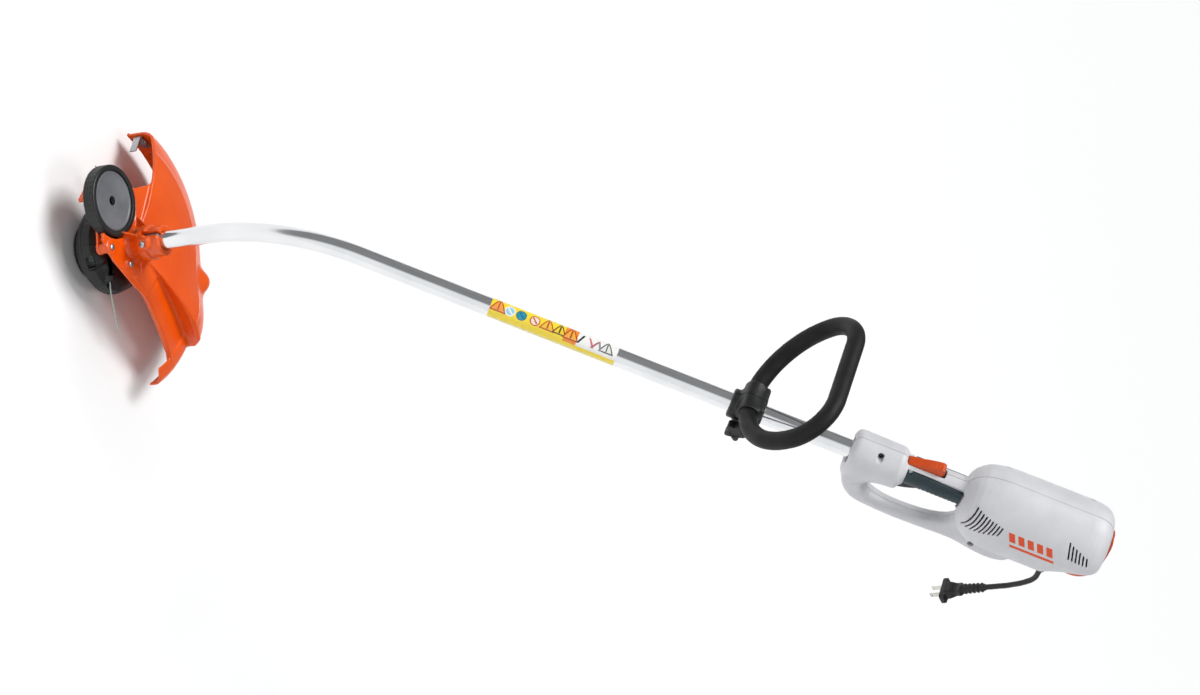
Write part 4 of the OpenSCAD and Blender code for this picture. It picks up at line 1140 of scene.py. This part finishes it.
@dataclass
class Guard:
    """Orange deflector clamped round the head end of the tube, with its screws and line blade."""
    high_r: float = 186.0
    low_r: float = 199.0
    wall: float = 3.0
    plate: float = 74.0
    sleeve_r: float = 22.0
    front: float = 107.0
    rear: float = 4.0
    strip_half: float = 38.0
    wall_slant: float = 0.062
    grow_out: float = 11.0
    grow_up: float = 8.0
    wheel_at: tuple = (-72.0, 9.0)
    wheel_d: float = 97.0
    post_at: tuple = (-36.0, -44.0)
    boss_at: tuple = (6.0, -32.0)
    blade_turn: float = 101.0
    clamp_turn: float = -36.0

    def __post_init__(self) -> None:
        """Draws the outlines once."""
        r, low = self.high_r, self.low_r
        flat = smooth_line([(18, 77), (60, 82), (110, 80), (146, 74)], 4)
        slope = smooth_line([(150, 71.5), (r - 10, 60), (r - 2, 50), (r, 38), (r, 16)], 4)
        fan_top = np.vstack([flat, slope])
        inner = smooth_line([(r - self.wall, 16), (r - self.wall, 37), (r - 5.5, 48), (r - 12, 57),
                             (149, 66.8), (109.5, 75.8), (60, 78.8), (18, 74)], 4)
        self.fan = Outline(np.vstack([fan_top, inner]))
        self.front_plate = Outline([(-56, -50), (-20, -54), (34, -46), (60, -38), (60, 10), (40, 80),
                                    (-24, 96), (-46, 64), (-80, 20)])
        self.strip = Outline([(14, 74), (14, 77), (70, 75), (120, 66), (165, 55), (low - 8, 45),
                              (low - 11, 42), (164, 52), (119, 63), (69, 72)])
        self.skirt = Outline([(low - 3, 30), (low, 30), (low, 42), (low - 6, 49), (low - 22, 53.5),
                              (low - 22, 50.5), (low - 8, 46), (low - 3.4, 40)], 2)
        self.side_wall = Outline([(24, 74), (60, 71), (120, 58), (170, 45), (low - 3, 30), (low - 1, 58),
                                  (low - 10, 70), (150, 80), (110, 85), (60, 82.5), (24, 77)])

    def wedge(self, x: Array, y: Array, start: float, end: float) -> Array:
        """Distance from the sector between two azimuths, less than half a turn apart."""
        a, b = math.radians(start), math.radians(end)
        return np.maximum(math.sin(a) * x - math.cos(a) * y, math.cos(b) * y - math.sin(b) * x)

    def fan_part(self, x: Array, y: Array, z: Array, r: Array) -> Array:
        """High side: a fan that slopes down into a skirt and grows to the rear, with one raised bump.

        Args:
            x: Coordinates along the frame's X.
            y: Coordinates along its Y.
            z: Coordinates along its Z.
            r: Distances from the Z axis.

        Returns:
            Signed distances.
        """
        azimuth = np.degrees(np.arctan2(y, x))
        grow = np.clip((36 - azimuth) / 30, 0, 1)
        grow = grow * grow * (3 - 2 * grow) * np.clip((r - 50) / 100, 0, 1.2)
        surface = self.fan(r - self.grow_out * grow, z - self.grow_up * grow)
        sector = self.wedge(x, y, self.rear, self.front)
        body = meet(surface, sector, 2.0)
        a, b = turned(x, y, 31.0)
        bump = np.sqrt(((a - 174) * 0.6) ** 2 + (0.7 * b) ** 2 + (z - 63) ** 2) - 9.5
        body = join(body, np.maximum(bump, 56 - z), 12)
        lip = meet(np.hypot(r - self.grow_out * grow - self.high_r + 0.6, z - 17.5) - 2.2, sector, 1.0)
        return join(body, lip, 1.5)

    def low_part(self, x: Array, y: Array, z: Array, r: Array) -> Array:
        """Low side: a strip to the rear left with a skirt that ends in a point.

        Args:
            x: Coordinates along the frame's X.
            y: Coordinates along its Y.
            z: Coordinates along its Z.
            r: Distances from the Z axis.

        Returns:
            Signed distances.
        """
        strip = meet(self.strip(x, z), np.maximum(-self.strip_half - y, y - 2.5 - self.wall_slant * x), 1.6)
        tip = 30 + 5 * np.clip((np.degrees(np.arctan2(y, x)) + 12) / 12, -1, 1)
        skirt = meet(self.skirt(r, z), self.wedge(x, y, -23, 3), 2.0)
        skirt = meet(skirt, tip - 5 - z, 1.5)
        edge = meet(np.hypot(y + self.strip_half - 1.6, self.strip(x, z)) - 2.6, np.abs(x - 105) - 80, 1)
        return join(join(strip, skirt, 4), edge, 1.5)

    def body(self, x: Array, y: Array, z: Array) -> Array:
        """Field of the whole deflector.

        Args:
            x: Coordinates along the frame's X.
            y: Coordinates along its Y.
            z: Coordinates along its Z.

        Returns:
            Signed distances.
        """
        r = np.hypot(x, y)
        fan = self.fan_part(x, y, z, r)
        low = self.low_part(x, y, z, r)
        side = meet(self.side_wall(x, z), np.abs(y - 1.8 - self.wall_slant * x) - 1.9, 0.8)
        plate = meet(self.front_plate(x, y), np.abs(z - self.plate - 1.5) - 1.6, 1.0)
        wheel = np.hypot(x - self.wheel_at[0], y - self.wheel_at[1]) - self.wheel_d / 2
        rim = meet(np.abs(wheel - 4.6) - 1.4, np.abs(z - self.plate - 0.5) - 2.6, 1.0)
        rim = np.maximum(rim, np.maximum(self.front_plate(x, y) - 0.5, x - 30))
        plate = join(carve(plate, wheel - 3, 1.0), rim, 1.5)
        body = join(join(fan, low, 3), join(side, plate, 4), 5)
        sleeve = meet(r - self.sleeve_r + 0.03 * (z - 74), np.abs(z - 94) - 32, 1.5)
        collar = meet(r - self.sleeve_r - 2, np.abs(z - 99) - 7, 2)
        ear_x, ear_y = turned(x, y, self.clamp_turn)
        ear = meet(block(ear_x, z - 106, 8, 9, 4), np.abs(ear_y + 21.5) - 5.5, 1.5)
        body = join(body, join(join(sleeve, collar, 3), ear, 3), 7)
        for turn in (-30, 60, 125, 200):
            a, b = turned(x, y, turn)
            web = meet(np.abs(b) - 1.2, (a - 19) * 0.75 + (z - 101) * 0.66, 1.0)
            web = np.maximum(web, np.maximum(12 - a, 74 - z))
            body = join(body, web, 2.0)
        boss = meet(np.hypot(x - self.boss_at[0], y - self.boss_at[1]) - 7.5, np.abs(z - 76.5) - 2.8, 1.6)
        post = meet(np.hypot(x - self.post_at[0], y - self.post_at[1]) - 9, np.abs(z - 76) - 2, 1.2)
        body = join(body, join(boss, post, 1), 3)
        body = carve(body, np.maximum(r - 16.02, z - 122), 0.4)
        body = carve(body, r - 13.1, 0.4)
        slot_x, slot_y = turned(x, y, 15)
        body = carve(body, np.maximum(block(slot_x + 19, slot_y, 10, 3, 0.5), 100 - z), 0.6)
        for cx, cy in (self.boss_at, self.post_at):
            body = carve(body, np.hypot(x - cx, y - cy) - 2.2, 0.3)
        body = carve(body, np.maximum(np.hypot(ear_x, z - 106) - 2.2, ear_y + 15), 0.3)
        a, b = turned(x, y, self.blade_turn)
        return carve(body, np.maximum(np.hypot(b, z - 34) - 2.2, 166 - a), 0.3)

    def screws(self) -> Shape:
        """The three screws: one clamps the sleeve, two go down into the plate.

        Returns:
            The shape.
        """
        parts = []
        for cx, cy in (self.boss_at, self.post_at):
            parts.append(screw(4.4, 2.8, 12).moved(Matrix.Translation((cx, cy, 79.4 if cy > -40 else 78.2))))
        clamp = Matrix.Translation((0, -27.2, 106)) @ Matrix.Rotation(math.pi / 2, 4, "X")
        parts.append(screw(4.4, 2.8, 8).moved(Matrix.Rotation(math.radians(self.clamp_turn), 4, "Z") @ clamp))
        return Shape.group(parts)

    def build(self, bench: Bench) -> None:
        """Adds the guard's pieces.

        Args:
            bench: Makes the pieces and dresses the nodes.
        """
        shape = net(self.body, (-84, -85, 14), (202, 190, 128), 1.35)
        bench.add("guard", shape, "chassis", "orange_plastic", "orange", ["deflector"])
        bench.add("guard_screws", self.screws(), "chassis", "zinc_steel", "zinc", ["deflector_screws"],
                  sharp=35)
        bench.dress("steel", "line_blade")
        bench.dress("zinc", "blade_screw")
        bench.dress("cast", "bearing_carrier")
        bench.dress("wire", "retaining_ring")


def screw(head_r: float, head_h: float, shank: float) -> Shape:
    """Pan-head screw with a cross recess, its head's underside at Z = 0.

    Args:
        head_r: Radius of the head.
        head_h: Height of the head.
        shank: Length of the shank below.

    Returns:
        The screw.
    """
    def body(x: Array, y: Array, z: Array) -> Array:
        """Field of the screw.

        Args:
            x: Coordinates along the frame's X.
            y: Coordinates along its Y.
            z: Coordinates along its Z.

        Returns:
            Signed distances.
        """
        r = np.hypot(x, y)
        dome = meet(np.sqrt(r * r + (z + head_r * 1.4) ** 2) - head_r * 1.4 - head_h, r - head_r, 0.5)
        dome = np.maximum(dome, -z)
        long, narrow = 0.62 * head_r, 0.16 * head_r
        cross = np.minimum(block(x, y, long, narrow, 0.1), block(x, y, narrow, long, 0.1))
        dome = carve(dome, np.maximum(cross + 0.25 * (head_h - z), head_h * 0.35 - z), 0.15)
        return join(dome, meet(r - head_r / 2, np.abs(z + shank / 2 - 0.2) - shank / 2, 0.3), 0.3)
    return net(body, (-head_r, -head_r, -shank), (head_r, head_r, head_h + 0.2), head_r / 14)


# ---- edging wheel ----

@dataclass
class EdgingWheel:
    """Black wheel with a grey dished disc, on an arm below the guard's front."""
    at: tuple = (-72.0, 9.0)
    radius: float = 48.5
    width: float = 18.0
    low: float = 62.5
    axle_r: float = 4.0
    arm_low: float = 58.4
    arm_high: float = 61.9
    post_at: tuple = (-36.0, -44.0)

    def rim(self, x: Array, y: Array, z: Array) -> Array:
        """Field of the black rim and hub: rounded tread with fine cross ribs.

        Args:
            x: Coordinates along the frame's X.
            y: Coordinates along its Y.
            z: Coordinates along its Z.

        Returns:
            Signed distances.
        """
        r = np.hypot(x, y)
        tread = 0.55 * (0.5 + 0.5 * np.cos(36 * np.arctan2(y, x)))
        half = self.width / 2
        tread = tread * np.clip(1 - np.abs(z - half) / half, 0, 1)
        tyre = meet(r - self.radius + tread, np.abs(z - half) - half, 3)
        body = carve(tyre, np.maximum(r - self.radius + 8.0, 12.2 - z), 1.2)
        body = carve(body, np.maximum(meet(r - self.radius + 9, 13 - r, 1), z - 2.4), 1.0)
        for k in range(3):
            body = carve(body, np.hypot(r - self.radius, z - 5 - 4 * k) - 0.55, 0.4)
        return carve(body, r - self.axle_r - 0.05, 0.4)

    def disc(self, x: Array, y: Array, z: Array) -> Array:
        """Field of the grey disc set in the wheel's outer face.

        Args:
            x: Coordinates along the frame's X.
            y: Coordinates along its Y.
            z: Coordinates along its Z.

        Returns:
            Signed distances.
        """
        r = np.hypot(x, y)
        dish = 13.4 + 1.4 * np.clip((r - 9) / 33, 0, 1) ** 2
        body = meet(r - self.radius + 8.2, np.maximum(z - dish - 0.8, 12.25 - z), 0.6)
        ring = np.hypot(r - self.radius + 11, z - dish - 0.6) - 1.1
        body = join(body, ring, 1.2)
        return carve(body, r - 6.2, 1.4)

    def arm(self, x: Array, y: Array, z: Array) -> Array:
        """Field of the orange arm, its lip in front and its post up to the guard.

        Args:
            x: Coordinates along the frame's X.
            y: Coordinates along its Y.
            z: Coordinates along its Z.

        Returns:
            Signed distances.
        """
        ax, ay = self.at
        bx, by = self.post_at
        t = np.clip(((x - ax) * (bx - ax) + (y - ay) * (by - ay)) / ((bx - ax) ** 2 + (by - ay) ** 2), 0, 1)
        plan = np.hypot(x - ax - t * (bx - ax), y - ay - t * (by - ay)) - (16 - 8 * t)
        plan = join(plan, block(x + 83, y - 4.5, 13, 10, 2), 3)
        middle, half = (self.arm_high + self.arm_low) / 2, (self.arm_high - self.arm_low) / 2
        body = meet(plan, np.abs(z - middle) - half, 0.6)
        lip = meet(block(x + 92, y - 3.5, 3.2, 11.5, 2.5), np.abs(z - 51) - 10.9, 1.5)
        body = join(body, lip, 2.5)
        post = meet(np.hypot(x - bx, y - by) - 7.5, np.abs(z - 66.2) - 7.8, 0.5)
        body = join(body, post, 2.5)
        body = carve(body, np.hypot(x - ax, y - ay) - self.axle_r, 0.3)
        return carve(body, np.maximum(np.hypot(x - bx, y - by) - 2.2, 66 - z), 0.3)

    def build(self, bench: Bench) -> None:
        """Adds the wheel, its disc and its arm.

        Args:
            bench: Makes the pieces and dresses the nodes.
        """
        place = Matrix.Translation((self.at[0], self.at[1], self.low))
        r = self.radius
        bench.add("wheel_rim", net(self.rim, (-r, -r, 0), (r, r, self.width), 0.9), "wheel", "wheel_black",
                  "black", ["edging_wheel"], place)
        bench.add("wheel_disc", net(self.disc, (-43, -43, 12), (43, 43, 17), 0.7), "wheel", "wheel_black",
                  "disc", ["edging_wheel"], place)
        bench.add("wheel_arm", net(self.arm, (-98, -54, 38), (-26, 26, 75), 0.9), "chassis", "orange_plastic",
                  "orange", ["wheel_bracket"])
        # The axle end takes the dark blackened steel: partly its own colour, partly painted shade that makes
        # the wheel's centre hole read dark
        bench.dress("dark_screw", "wheel_axle")


# ---- rear housing ----

@dataclass
class RearHousing:
    """Grey clamshell with hub, grip bar, lower bar and motor body, in a frame with X along the tube."""
    at: float = 694.0
    hub_r: float = 30.0
    hub_len: float = 70.0
    bar_r: float = 19.0
    bar_up: float = 5.0
    web_half: float = 13.0
    wall: float = 2.4
    body_drop: float = 2.5
    grip: tuple = (76.0, 160.0)
    tube_r: float = 12.7
    screws: tuple = ((36, 24, 15, -1), (14, -56, 11, 1), (194, -72, 11, -1), (198, 40, 32, 1),
                     (316, 40, 34, 1), (316, -42, 34, 1))
    gland_at: float = 296.0

    def __post_init__(self) -> None:
        """Draws the outlines once."""
        front = [(154, 0), (154, 17), (156, 29), (162, 40), (176, 50.5), (197, 55.8), (218, 57)]
        rear = [(326, 57), (340, 54.8), (350, 48), (355.5, 36), (357.6, 18), (358, 0)]
        half = np.vstack([smooth_line(front, 2), smooth_line(rear, 2)])
        self.body = Outline(np.vstack([half, (half * (1, -1))[-2:0:-1]]))
        self.frame = Outline([(-2, 14), (-4, -18), (-2, -42), (8, -64), (28, -78), (70, -86), (120, -86),
                              (165, -84), (195, -88), (225, -90), (246, -84), (254, -66), (244, -48),
                              (200, -30), (150, -2), (60, 8)], 3)
        self.gap = Outline([(36, -30), (52, -16), (90, -14), (140, -14), (157, -22), (160, -36), (148, -54),
                            (118, -64), (76, -66), (46, -60), (34, -46)], 3)

    def place(self) -> Matrix:
        """The housing's own frame."""
        return RAIL.frame(self.at)

    def motor(self, x: Array, y: Array, z: Array) -> Array:
        """Field of the motor body, whose underside rises towards the rear.

        Args:
            x: Coordinates along the frame's X.
            y: Coordinates along its Y.
            z: Coordinates along its Z.

        Returns:
            Signed distances.
        """
        reach = np.hypot(y, z + self.body_drop)
        rise = 0.5 * np.maximum(x - 287, 0) * np.clip(-1.3 * z / (reach + 1), 0, 1)
        return self.body(x, reach + rise)

    def outer(self, x: Array, y: Array, z: Array) -> Array:
        """Field of the outer form, blended where its parts grow into each other.

        Args:
            x: Coordinates along the frame's X.
            y: Coordinates along its Y.
            z: Coordinates along its Z.

        Returns:
            Signed distances.
        """
        body = self.motor(x, y, z)
        hub = meet(np.hypot(y, z) - self.hub_r, np.abs(x - self.hub_len / 2) - self.hub_len / 2, 8)
        bar = np.maximum(np.hypot(y, z - self.bar_up) - self.bar_r, np.abs(x - 112) - 56)
        swell = 3.5 * np.exp(-((x - 20) / 30.0) ** 2) + 2.5 * np.exp(-((x - 215) / 40.0) ** 2)
        web = carve(self.frame(x, z), self.gap(x, z), 3)
        web = meet(web, np.abs(y) - self.web_half - swell, 13)
        form = join(join(body, bar, 6), join(hub, web, 16), 7)
        form = carve(form, self.gap(x, z), 5)
        form = carve(form, np.maximum(np.hypot(y, z) - 18.5, x - 8), 3)
        foot = np.hypot(z + 67 + 0.02 * (x - 220), np.abs(y) - 17) - 1.1
        return carve(form, np.maximum(foot, np.abs(x - 219) - 23), 0.8)

    def vents(self, x: Array, z: Array) -> Array:
        """Flat field of the cooling slots: a fan of curved ones in front and a row at the rear.

        Args:
            x: Coordinates along the frame's X.
            z: Coordinates along its Z.

        Returns:
            Signed distances.
        """
        bend = 0.012 * (z - 8) ** 2
        slots = None
        for i in range(9):
            lean = x - (172 + 5.0 * i) - 0.33 * (z - 6) + bend * 0.5
            one = block(lean, z - (10 + 0.6 * i), 1.0, 19 - 1.5 * i, 0.9)
            slots = one if slots is None else np.minimum(slots, one)
        for i in range(6):
            lean = x - (308 + 5.0 * i) + 0.3 * (z - 20)
            slots = np.minimum(slots, block(lean, z - 24 + 1.2 * i, 1.0, 10.5 - 0.9 * i, 0.9))
        return slots

    def shell(self, side: int) -> Field:
        """Field of one shell, side -1 for the left and 1 for the right.

        Args:
            side: -1 for the left one, 1 for the right one.

        Returns:
            The field.
        """
        def half(x: Array, y: Array, z: Array) -> Array:
            """Distance from the shell.

            Args:
                x: Coordinates along the frame's X.
                y: Coordinates along its Y.
                z: Coordinates along its Z.

            Returns:
                Signed distances.
            """
            form = self.outer(x, y, z)
            bar = np.hypot(y, z - self.bar_up)
            seat = np.maximum(np.maximum(self.bar_r - 2.5 - bar, np.abs(x - sum(self.grip) / 2) - 42.3),
                              np.maximum(z - 18.3, bar - self.bar_r - 4))
            form = carve(form, seat, 0.4)
            shell = np.maximum(form, -form - self.wall)
            for px, pz, depth, head in self.screws:
                column = np.hypot(x - px, z - pz)
                boss = np.maximum(meet(column - 6.6, form + 0.4, 0.6), -np.abs(y) + 0.1)
                shell = join(shell, boss, 1.0)
                if side == head:
                    shell = carve(shell, np.maximum(column - 4.3, depth - 3 - side * y), 0.8)
            collar = np.maximum(np.hypot(y, z) - self.tube_r - 3.5, np.abs(x - 6) - 7.5)
            shell = join(shell, np.maximum(collar, form), 1)
            shell = carve(shell, np.maximum(np.hypot(y, z) - self.tube_r - 0.05, x - 51), 0.8)
            cap = np.maximum(np.hypot(x - 14, z) - 5, 26 - y)
            shell = carve(shell, cap, 0.8)
            lever = np.maximum(block(x - 98, y, 27, 7.8, 3), 12 - z)
            trigger = np.maximum(block(x - 82, y, 26, 6.4, 2), np.abs(z + 18) - 12)
            shell = carve(carve(shell, lever, 1.0), trigger, 0.8)
            vents = np.maximum(self.vents(x, z), 22 - np.abs(y))
            shell = carve(shell, vents, 0.7)
            outlet = np.maximum(np.hypot(x - self.gland_at, y) - 8.1, z + 45)
            shell = carve(shell, outlet, 0.5)
            for i in range(3):
                bar_x, bar_z = turned(x - 25 - 3 * i, z + 42 - 6 * i, 20)
                mark = np.maximum(block(bar_x, bar_z, 9 - 2 * i, 1.1, 0.8), np.abs(form) - 0.8)
                shell = join(shell, np.maximum(mark, 5 - np.abs(y)), 0.5)
            return meet(shell, side * -y + 0.1, 0.5)
        return half

    def cover(self, x: Array, y: Array, z: Array) -> Array:
        """Field of the soft cover round the lower side of the bar, with a rolled edge and grooves.

        Args:
            x: Coordinates along the frame's X.
            y: Coordinates along its Y.
            z: Coordinates along its Z.

        Returns:
            Signed distances.
        """
        bar = np.hypot(y, z - self.bar_up)
        start, end = self.grip
        from_middle = np.abs(x - (start + end) / 2)
        wave = np.cos((x - start) / 27)
        body = meet(bar - self.bar_r - 0.5, self.bar_r - 2.4 - bar, 0.5)
        body = np.maximum(body, from_middle - 42)
        body = meet(body, z - 17 - wave, 0.8)
        edge = np.hypot(bar - self.bar_r - 0.3, z - 15.3 - wave) - 1.0
        body = join(body, np.maximum(edge, from_middle - 41), 0.8)
        for k in range(9):
            groove = np.hypot(x - start - 26 - 6 * k, bar - self.bar_r - 0.9) - 0.9
            body = carve(body, np.maximum(groove, z - 7), 0.5)
        slot = np.maximum(block(x - 84, y, 24.4, 6.3, 2), z + 4)
        body = carve(body, slot, 0.6)
        body = carve(body, np.hypot(x - 80, z - 17) - 2.6, 0.3)
        return carve(body, self.motor(x, y, z) - 0.1, 0.4)

    def lever(self, x: Array, y: Array, z: Array) -> Array:
        """Field of the interlock lever: a thumb pad with cross ribs.

        Args:
            x: Coordinates along the frame's X.
            y: Coordinates along its Y.
            z: Coordinates along its Z.

        Returns:
            Signed distances.
        """
        side = LEVER(x, z)
        body = meet(side, np.abs(y) - 7.4, 2.0)
        for k in range(5):
            groove = np.hypot(x - 94 - 5 * k, z - 30.4 - 0.22 * (5 * k)) - 0.9
            body = carve(body, groove, 0.6)
        return carve(body, np.hypot(x - 80, z - 17) - 2.05, 0.2)

    def trigger(self, x: Array, y: Array, z: Array) -> Array:
        """Field of the trigger, hollowed where the finger lies."""
        body = meet(TRIGGER(x, z), np.abs(y) - 5.6, 1.8)
        return carve(body, np.hypot(x - 100, z + 9.6) - 2.05, 0.2)

    def hook(self, x: Array, y: Array, z: Array) -> Array:
        """Field of the rear hook that takes the pull off the lead."""
        body = meet(HOOK(x, z), np.abs(y) - 9, 2.2)
        return carve(body, self.motor(x, y, z) - 0.15, 0.4)

    def fasteners(self) -> Shape:
        """The six screws at the bottoms of their pockets.

        Returns:
            The shape.
        """
        parts = []
        for px, pz, depth, head in self.screws:
            turn = Matrix.Rotation(-head * math.pi / 2, 4, "X")
            turn = Matrix.Translation((px, head * (depth - 3), pz)) @ turn
            parts.append(screw(3.9, 2.2, depth + 2).moved(turn))
        return Shape.group(parts)

    def build(self, bench: Bench) -> None:
        """Adds the housing's pieces.

        Args:
            bench: Makes the pieces and dresses the nodes.
        """
        place = self.place()
        for side, name, node in ((-1, "left_shell", "housing_left"), (1, "right_shell", "housing_right")):
            low, high = ((-5, -59, -94), (360, 0, 56)) if side < 0 else ((-5, 0, -94), (360, 59, 56))
            bench.add(name, net(self.shell(side), low, high, 1.35), "chassis", "grey_shell", "shell",
                      [node], place)
        bench.add("grip_skin", net(self.cover, (74, -21, -16), (162, 21, 20), 0.8), "chassis", "soft_grip",
                  "grip", ["grip_cover"], place)
        bench.add("shell_screws", self.fasteners(), "chassis", "zinc_steel", "dark_screw",
                  ["housing_screws"], place, 35)
        turn = Matrix.Translation((14, self.hub_r - 2, 0)) @ Matrix.Rotation(-math.pi / 2, 4, "X")
        tube_screw = screw(4.6, 2.8, 15).moved(turn)
        bench.add("hub_screw", tube_screw, "chassis", "zinc_steel", "dark_screw", ["tube_screw"], place, 35)
        bench.add("interlock", net(self.lever, (70, -8, 11), (124, 8, 36), 0.6), "interlock",
                  "orange_plastic", "orange_satin", ["interlock_lever"], place)
        bench.add("trigger", net(self.trigger, (56, -6, -32), (106, 6, -5), 0.6), "trigger",
                  "trigger_black", "black", ["switch_trigger"], place)
        bench.add("lead_hook", net(self.hook, (318, -10, -66), (364, 10, 34), 0.8), "chassis",
                  "orange_plastic", "orange_satin", ["cord_retainer"], place)


# Side outlines of the small pieces, in the housing's own frame
LEVER = Outline([(72, 23), (74, 15), (82, 13), (100, 20), (118, 21), (122, 26), (120, 34), (108, 33),
                 (88, 27)], 3)
TRIGGER = Outline([(59, -18), (57, -26), (64, -31), (80, -27), (94, -21), (104, -13), (104, -7.6),
                   (100, -6.7), (95, -8), (84, -14), (70, -16)], 3)
HOOK = Outline([(349, 32), (358, 30), (362, 10), (360.5, -28), (355, -48), (345, -59), (334, -63.5),
                (322, -63), (322, -54), (346, -40)], 3)


def dress_inner_pieces(bench: Bench) -> None:
    """Gives the pieces inside the tube and the motor body their finishes.

    Args:
        bench: Makes the pieces and dresses the nodes.
    """
    bench.dress("liner", "shaft_liner")
    bench.dress("black", "liner_bushes", "power_switch", "cooling_fan")
    bench.dress("wire", "flex_shaft", "trigger_spring")
    bench.dress("steel", "motor_shaft", "motor_bearings", "shaft_coupling", "flex_end_upper", "trigger_pin",
                "interlock_pin")
    bench.dress("sheets", "motor_stator", "armature")
    bench.dress("copper", "field_coils", "armature_windings")
    bench.dress("copper_bar", "commutator")
    bench.dress("brass", "brush_holders")
    bench.dress("carbon", "carbon_brushes")
    bench.dress("blue_box", "capacitor")


# ---- studio ----

@dataclass
class Studio:
    """Pale floor, soft lamps and the camera."""
    spot: tuple = (-2.5144, -3.2461, 2.9385)
    right: tuple = (0.39640, 0.27359, 0.87637)
    up: tuple = (-0.71480, 0.69100, 0.10760)
    middle: tuple = (0.35, 0.0, 0.6)
    lens: float = 111.0
    floor_half: float = 40.0
    dim: float = 0.25
    bright: float = 0.95
    bright_way: tuple = (-0.155, -0.393, 0.906)
    bright_edge: tuple = (0.68, 0.86)

    def camera(self) -> None:
        """Camera rolled so that the tube runs across the frame."""
        lens = bpy.data.cameras.new("camera")
        lens.lens, lens.sensor_width = self.lens, 36.0
        camera = bpy.data.objects.new("camera", lens)
        bpy.context.scene.collection.objects.link(camera)
        back = Vector(self.right).cross(Vector(self.up))
        axes = Matrix((self.right, self.up, back)).transposed()
        camera.matrix_world = Matrix.Translation(self.spot) @ axes.to_4x4()
        bpy.context.scene.camera = camera

    def lamp(self, name: str, kind: str, side: float, lift: float, far: float, size: float,
             power: float) -> None:
        """Adds a soft lamp aimed at the middle of the machine.

        Args:
            name: Name of the lamp.
            kind: AREA for a square lamp, SUN for one so far off that it lights evenly.
            side: Metres to the camera's right of that point.
            lift: Metres above it in the camera's view.
            far: Metres towards the camera.
            size: Side of a square lamp in metres, or degrees across of a far one.
            power: Watts of a square lamp, or watts per square metre of a far one.
        """
        right, up = Vector(self.right), Vector(self.up)
        away = right * side + up * lift + right.cross(up) * far
        data = bpy.data.lights.new(name, kind)
        data.energy = power
        if kind == "SUN":
            data.angle = math.radians(size)
        else:
            data.size = size
        lamp = bpy.data.objects.new(name, data)
        bpy.context.scene.collection.objects.link(lamp)
        lamp.location = Vector(self.middle) + away
        lamp.rotation_euler = away.to_track_quat("Z", "Y").to_euler()

    def build(self) -> None:
        """Adds the floor, the lamps and the sky."""
        half = self.floor_half
        mesh = bpy.data.meshes.new("floor")
        corners = [(-half, -half, 0), (half, -half, 0), (half, half, 0), (-half, half, 0)]
        mesh.from_pydata(corners, [], [(0, 1, 2, 3)])
        floor = bpy.data.objects.new("floor", mesh)
        bpy.context.scene.collection.objects.link(floor)
        floor.location.z = -0.0005
        paint = bpy.data.materials.new("floor_paint_matt_white")
        paint.use_nodes = True
        shader = paint.node_tree.nodes["Principled BSDF"]
        shader.inputs["Base Color"].default_value = (0.92, 0.92, 0.92, 1)
        shader.inputs["Roughness"].default_value = 0.9
        mesh.materials.append(paint)
        self.lamp("key", "SUN", 3.4, 2.2, 1.6, 30, 2.45)
        self.lamp("fill", "AREA", 3.4, -0.6, 2.4, 1.6, 30)
        world = bpy.data.worlds.new("sky")
        world.use_nodes = True
        tree = world.node_tree
        right, up = Vector(self.right), Vector(self.up)
        across, lift, near = self.bright_way
        facing = right * across + up * lift + right.cross(up) * near
        compass = add(tree, "ShaderNodeTexCoord")
        lean = add(tree, "ShaderNodeVectorMath", {0: compass.outputs["Generated"], 1: facing},
                   operation="DOT_PRODUCT")
        level = add(tree, "ShaderNodeMapRange", {0: lean.outputs["Value"], 1: self.bright_edge[0],
                                                 2: self.bright_edge[1], 3: self.dim, 4: self.bright})
        sky = tree.nodes["Background"]
        sky.inputs["Color"].default_value = (0.97, 0.985, 1.0, 1)
        tree.links.new(level.outputs[0], sky.inputs["Strength"])
        bpy.context.scene.world = world
        bpy.context.scene.view_settings.view_transform = "Standard"


def main() -> None:
    """Builds the studio, the lead and every other piece, and reports each."""
    logging.basicConfig(level=logging.INFO, format="%(name)s: %(message)s")
    bench = Bench()
    studio = Studio()
    studio.camera()
    MainsLead().build(bench)
    for assembly in (DriveTube(), LoopHandle(), MowingHead(), EdgingWheel(), Guard(), RearHousing()):
        assembly.build(bench)
        LOG.info("built %s", type(assembly).__name__)
    dress_inner_pieces(bench)
    studio.build()
    LOG.info("%d pieces made", bench.made)
    bpy.context.view_layer.update()


if __name__ == "__main__":
    main()
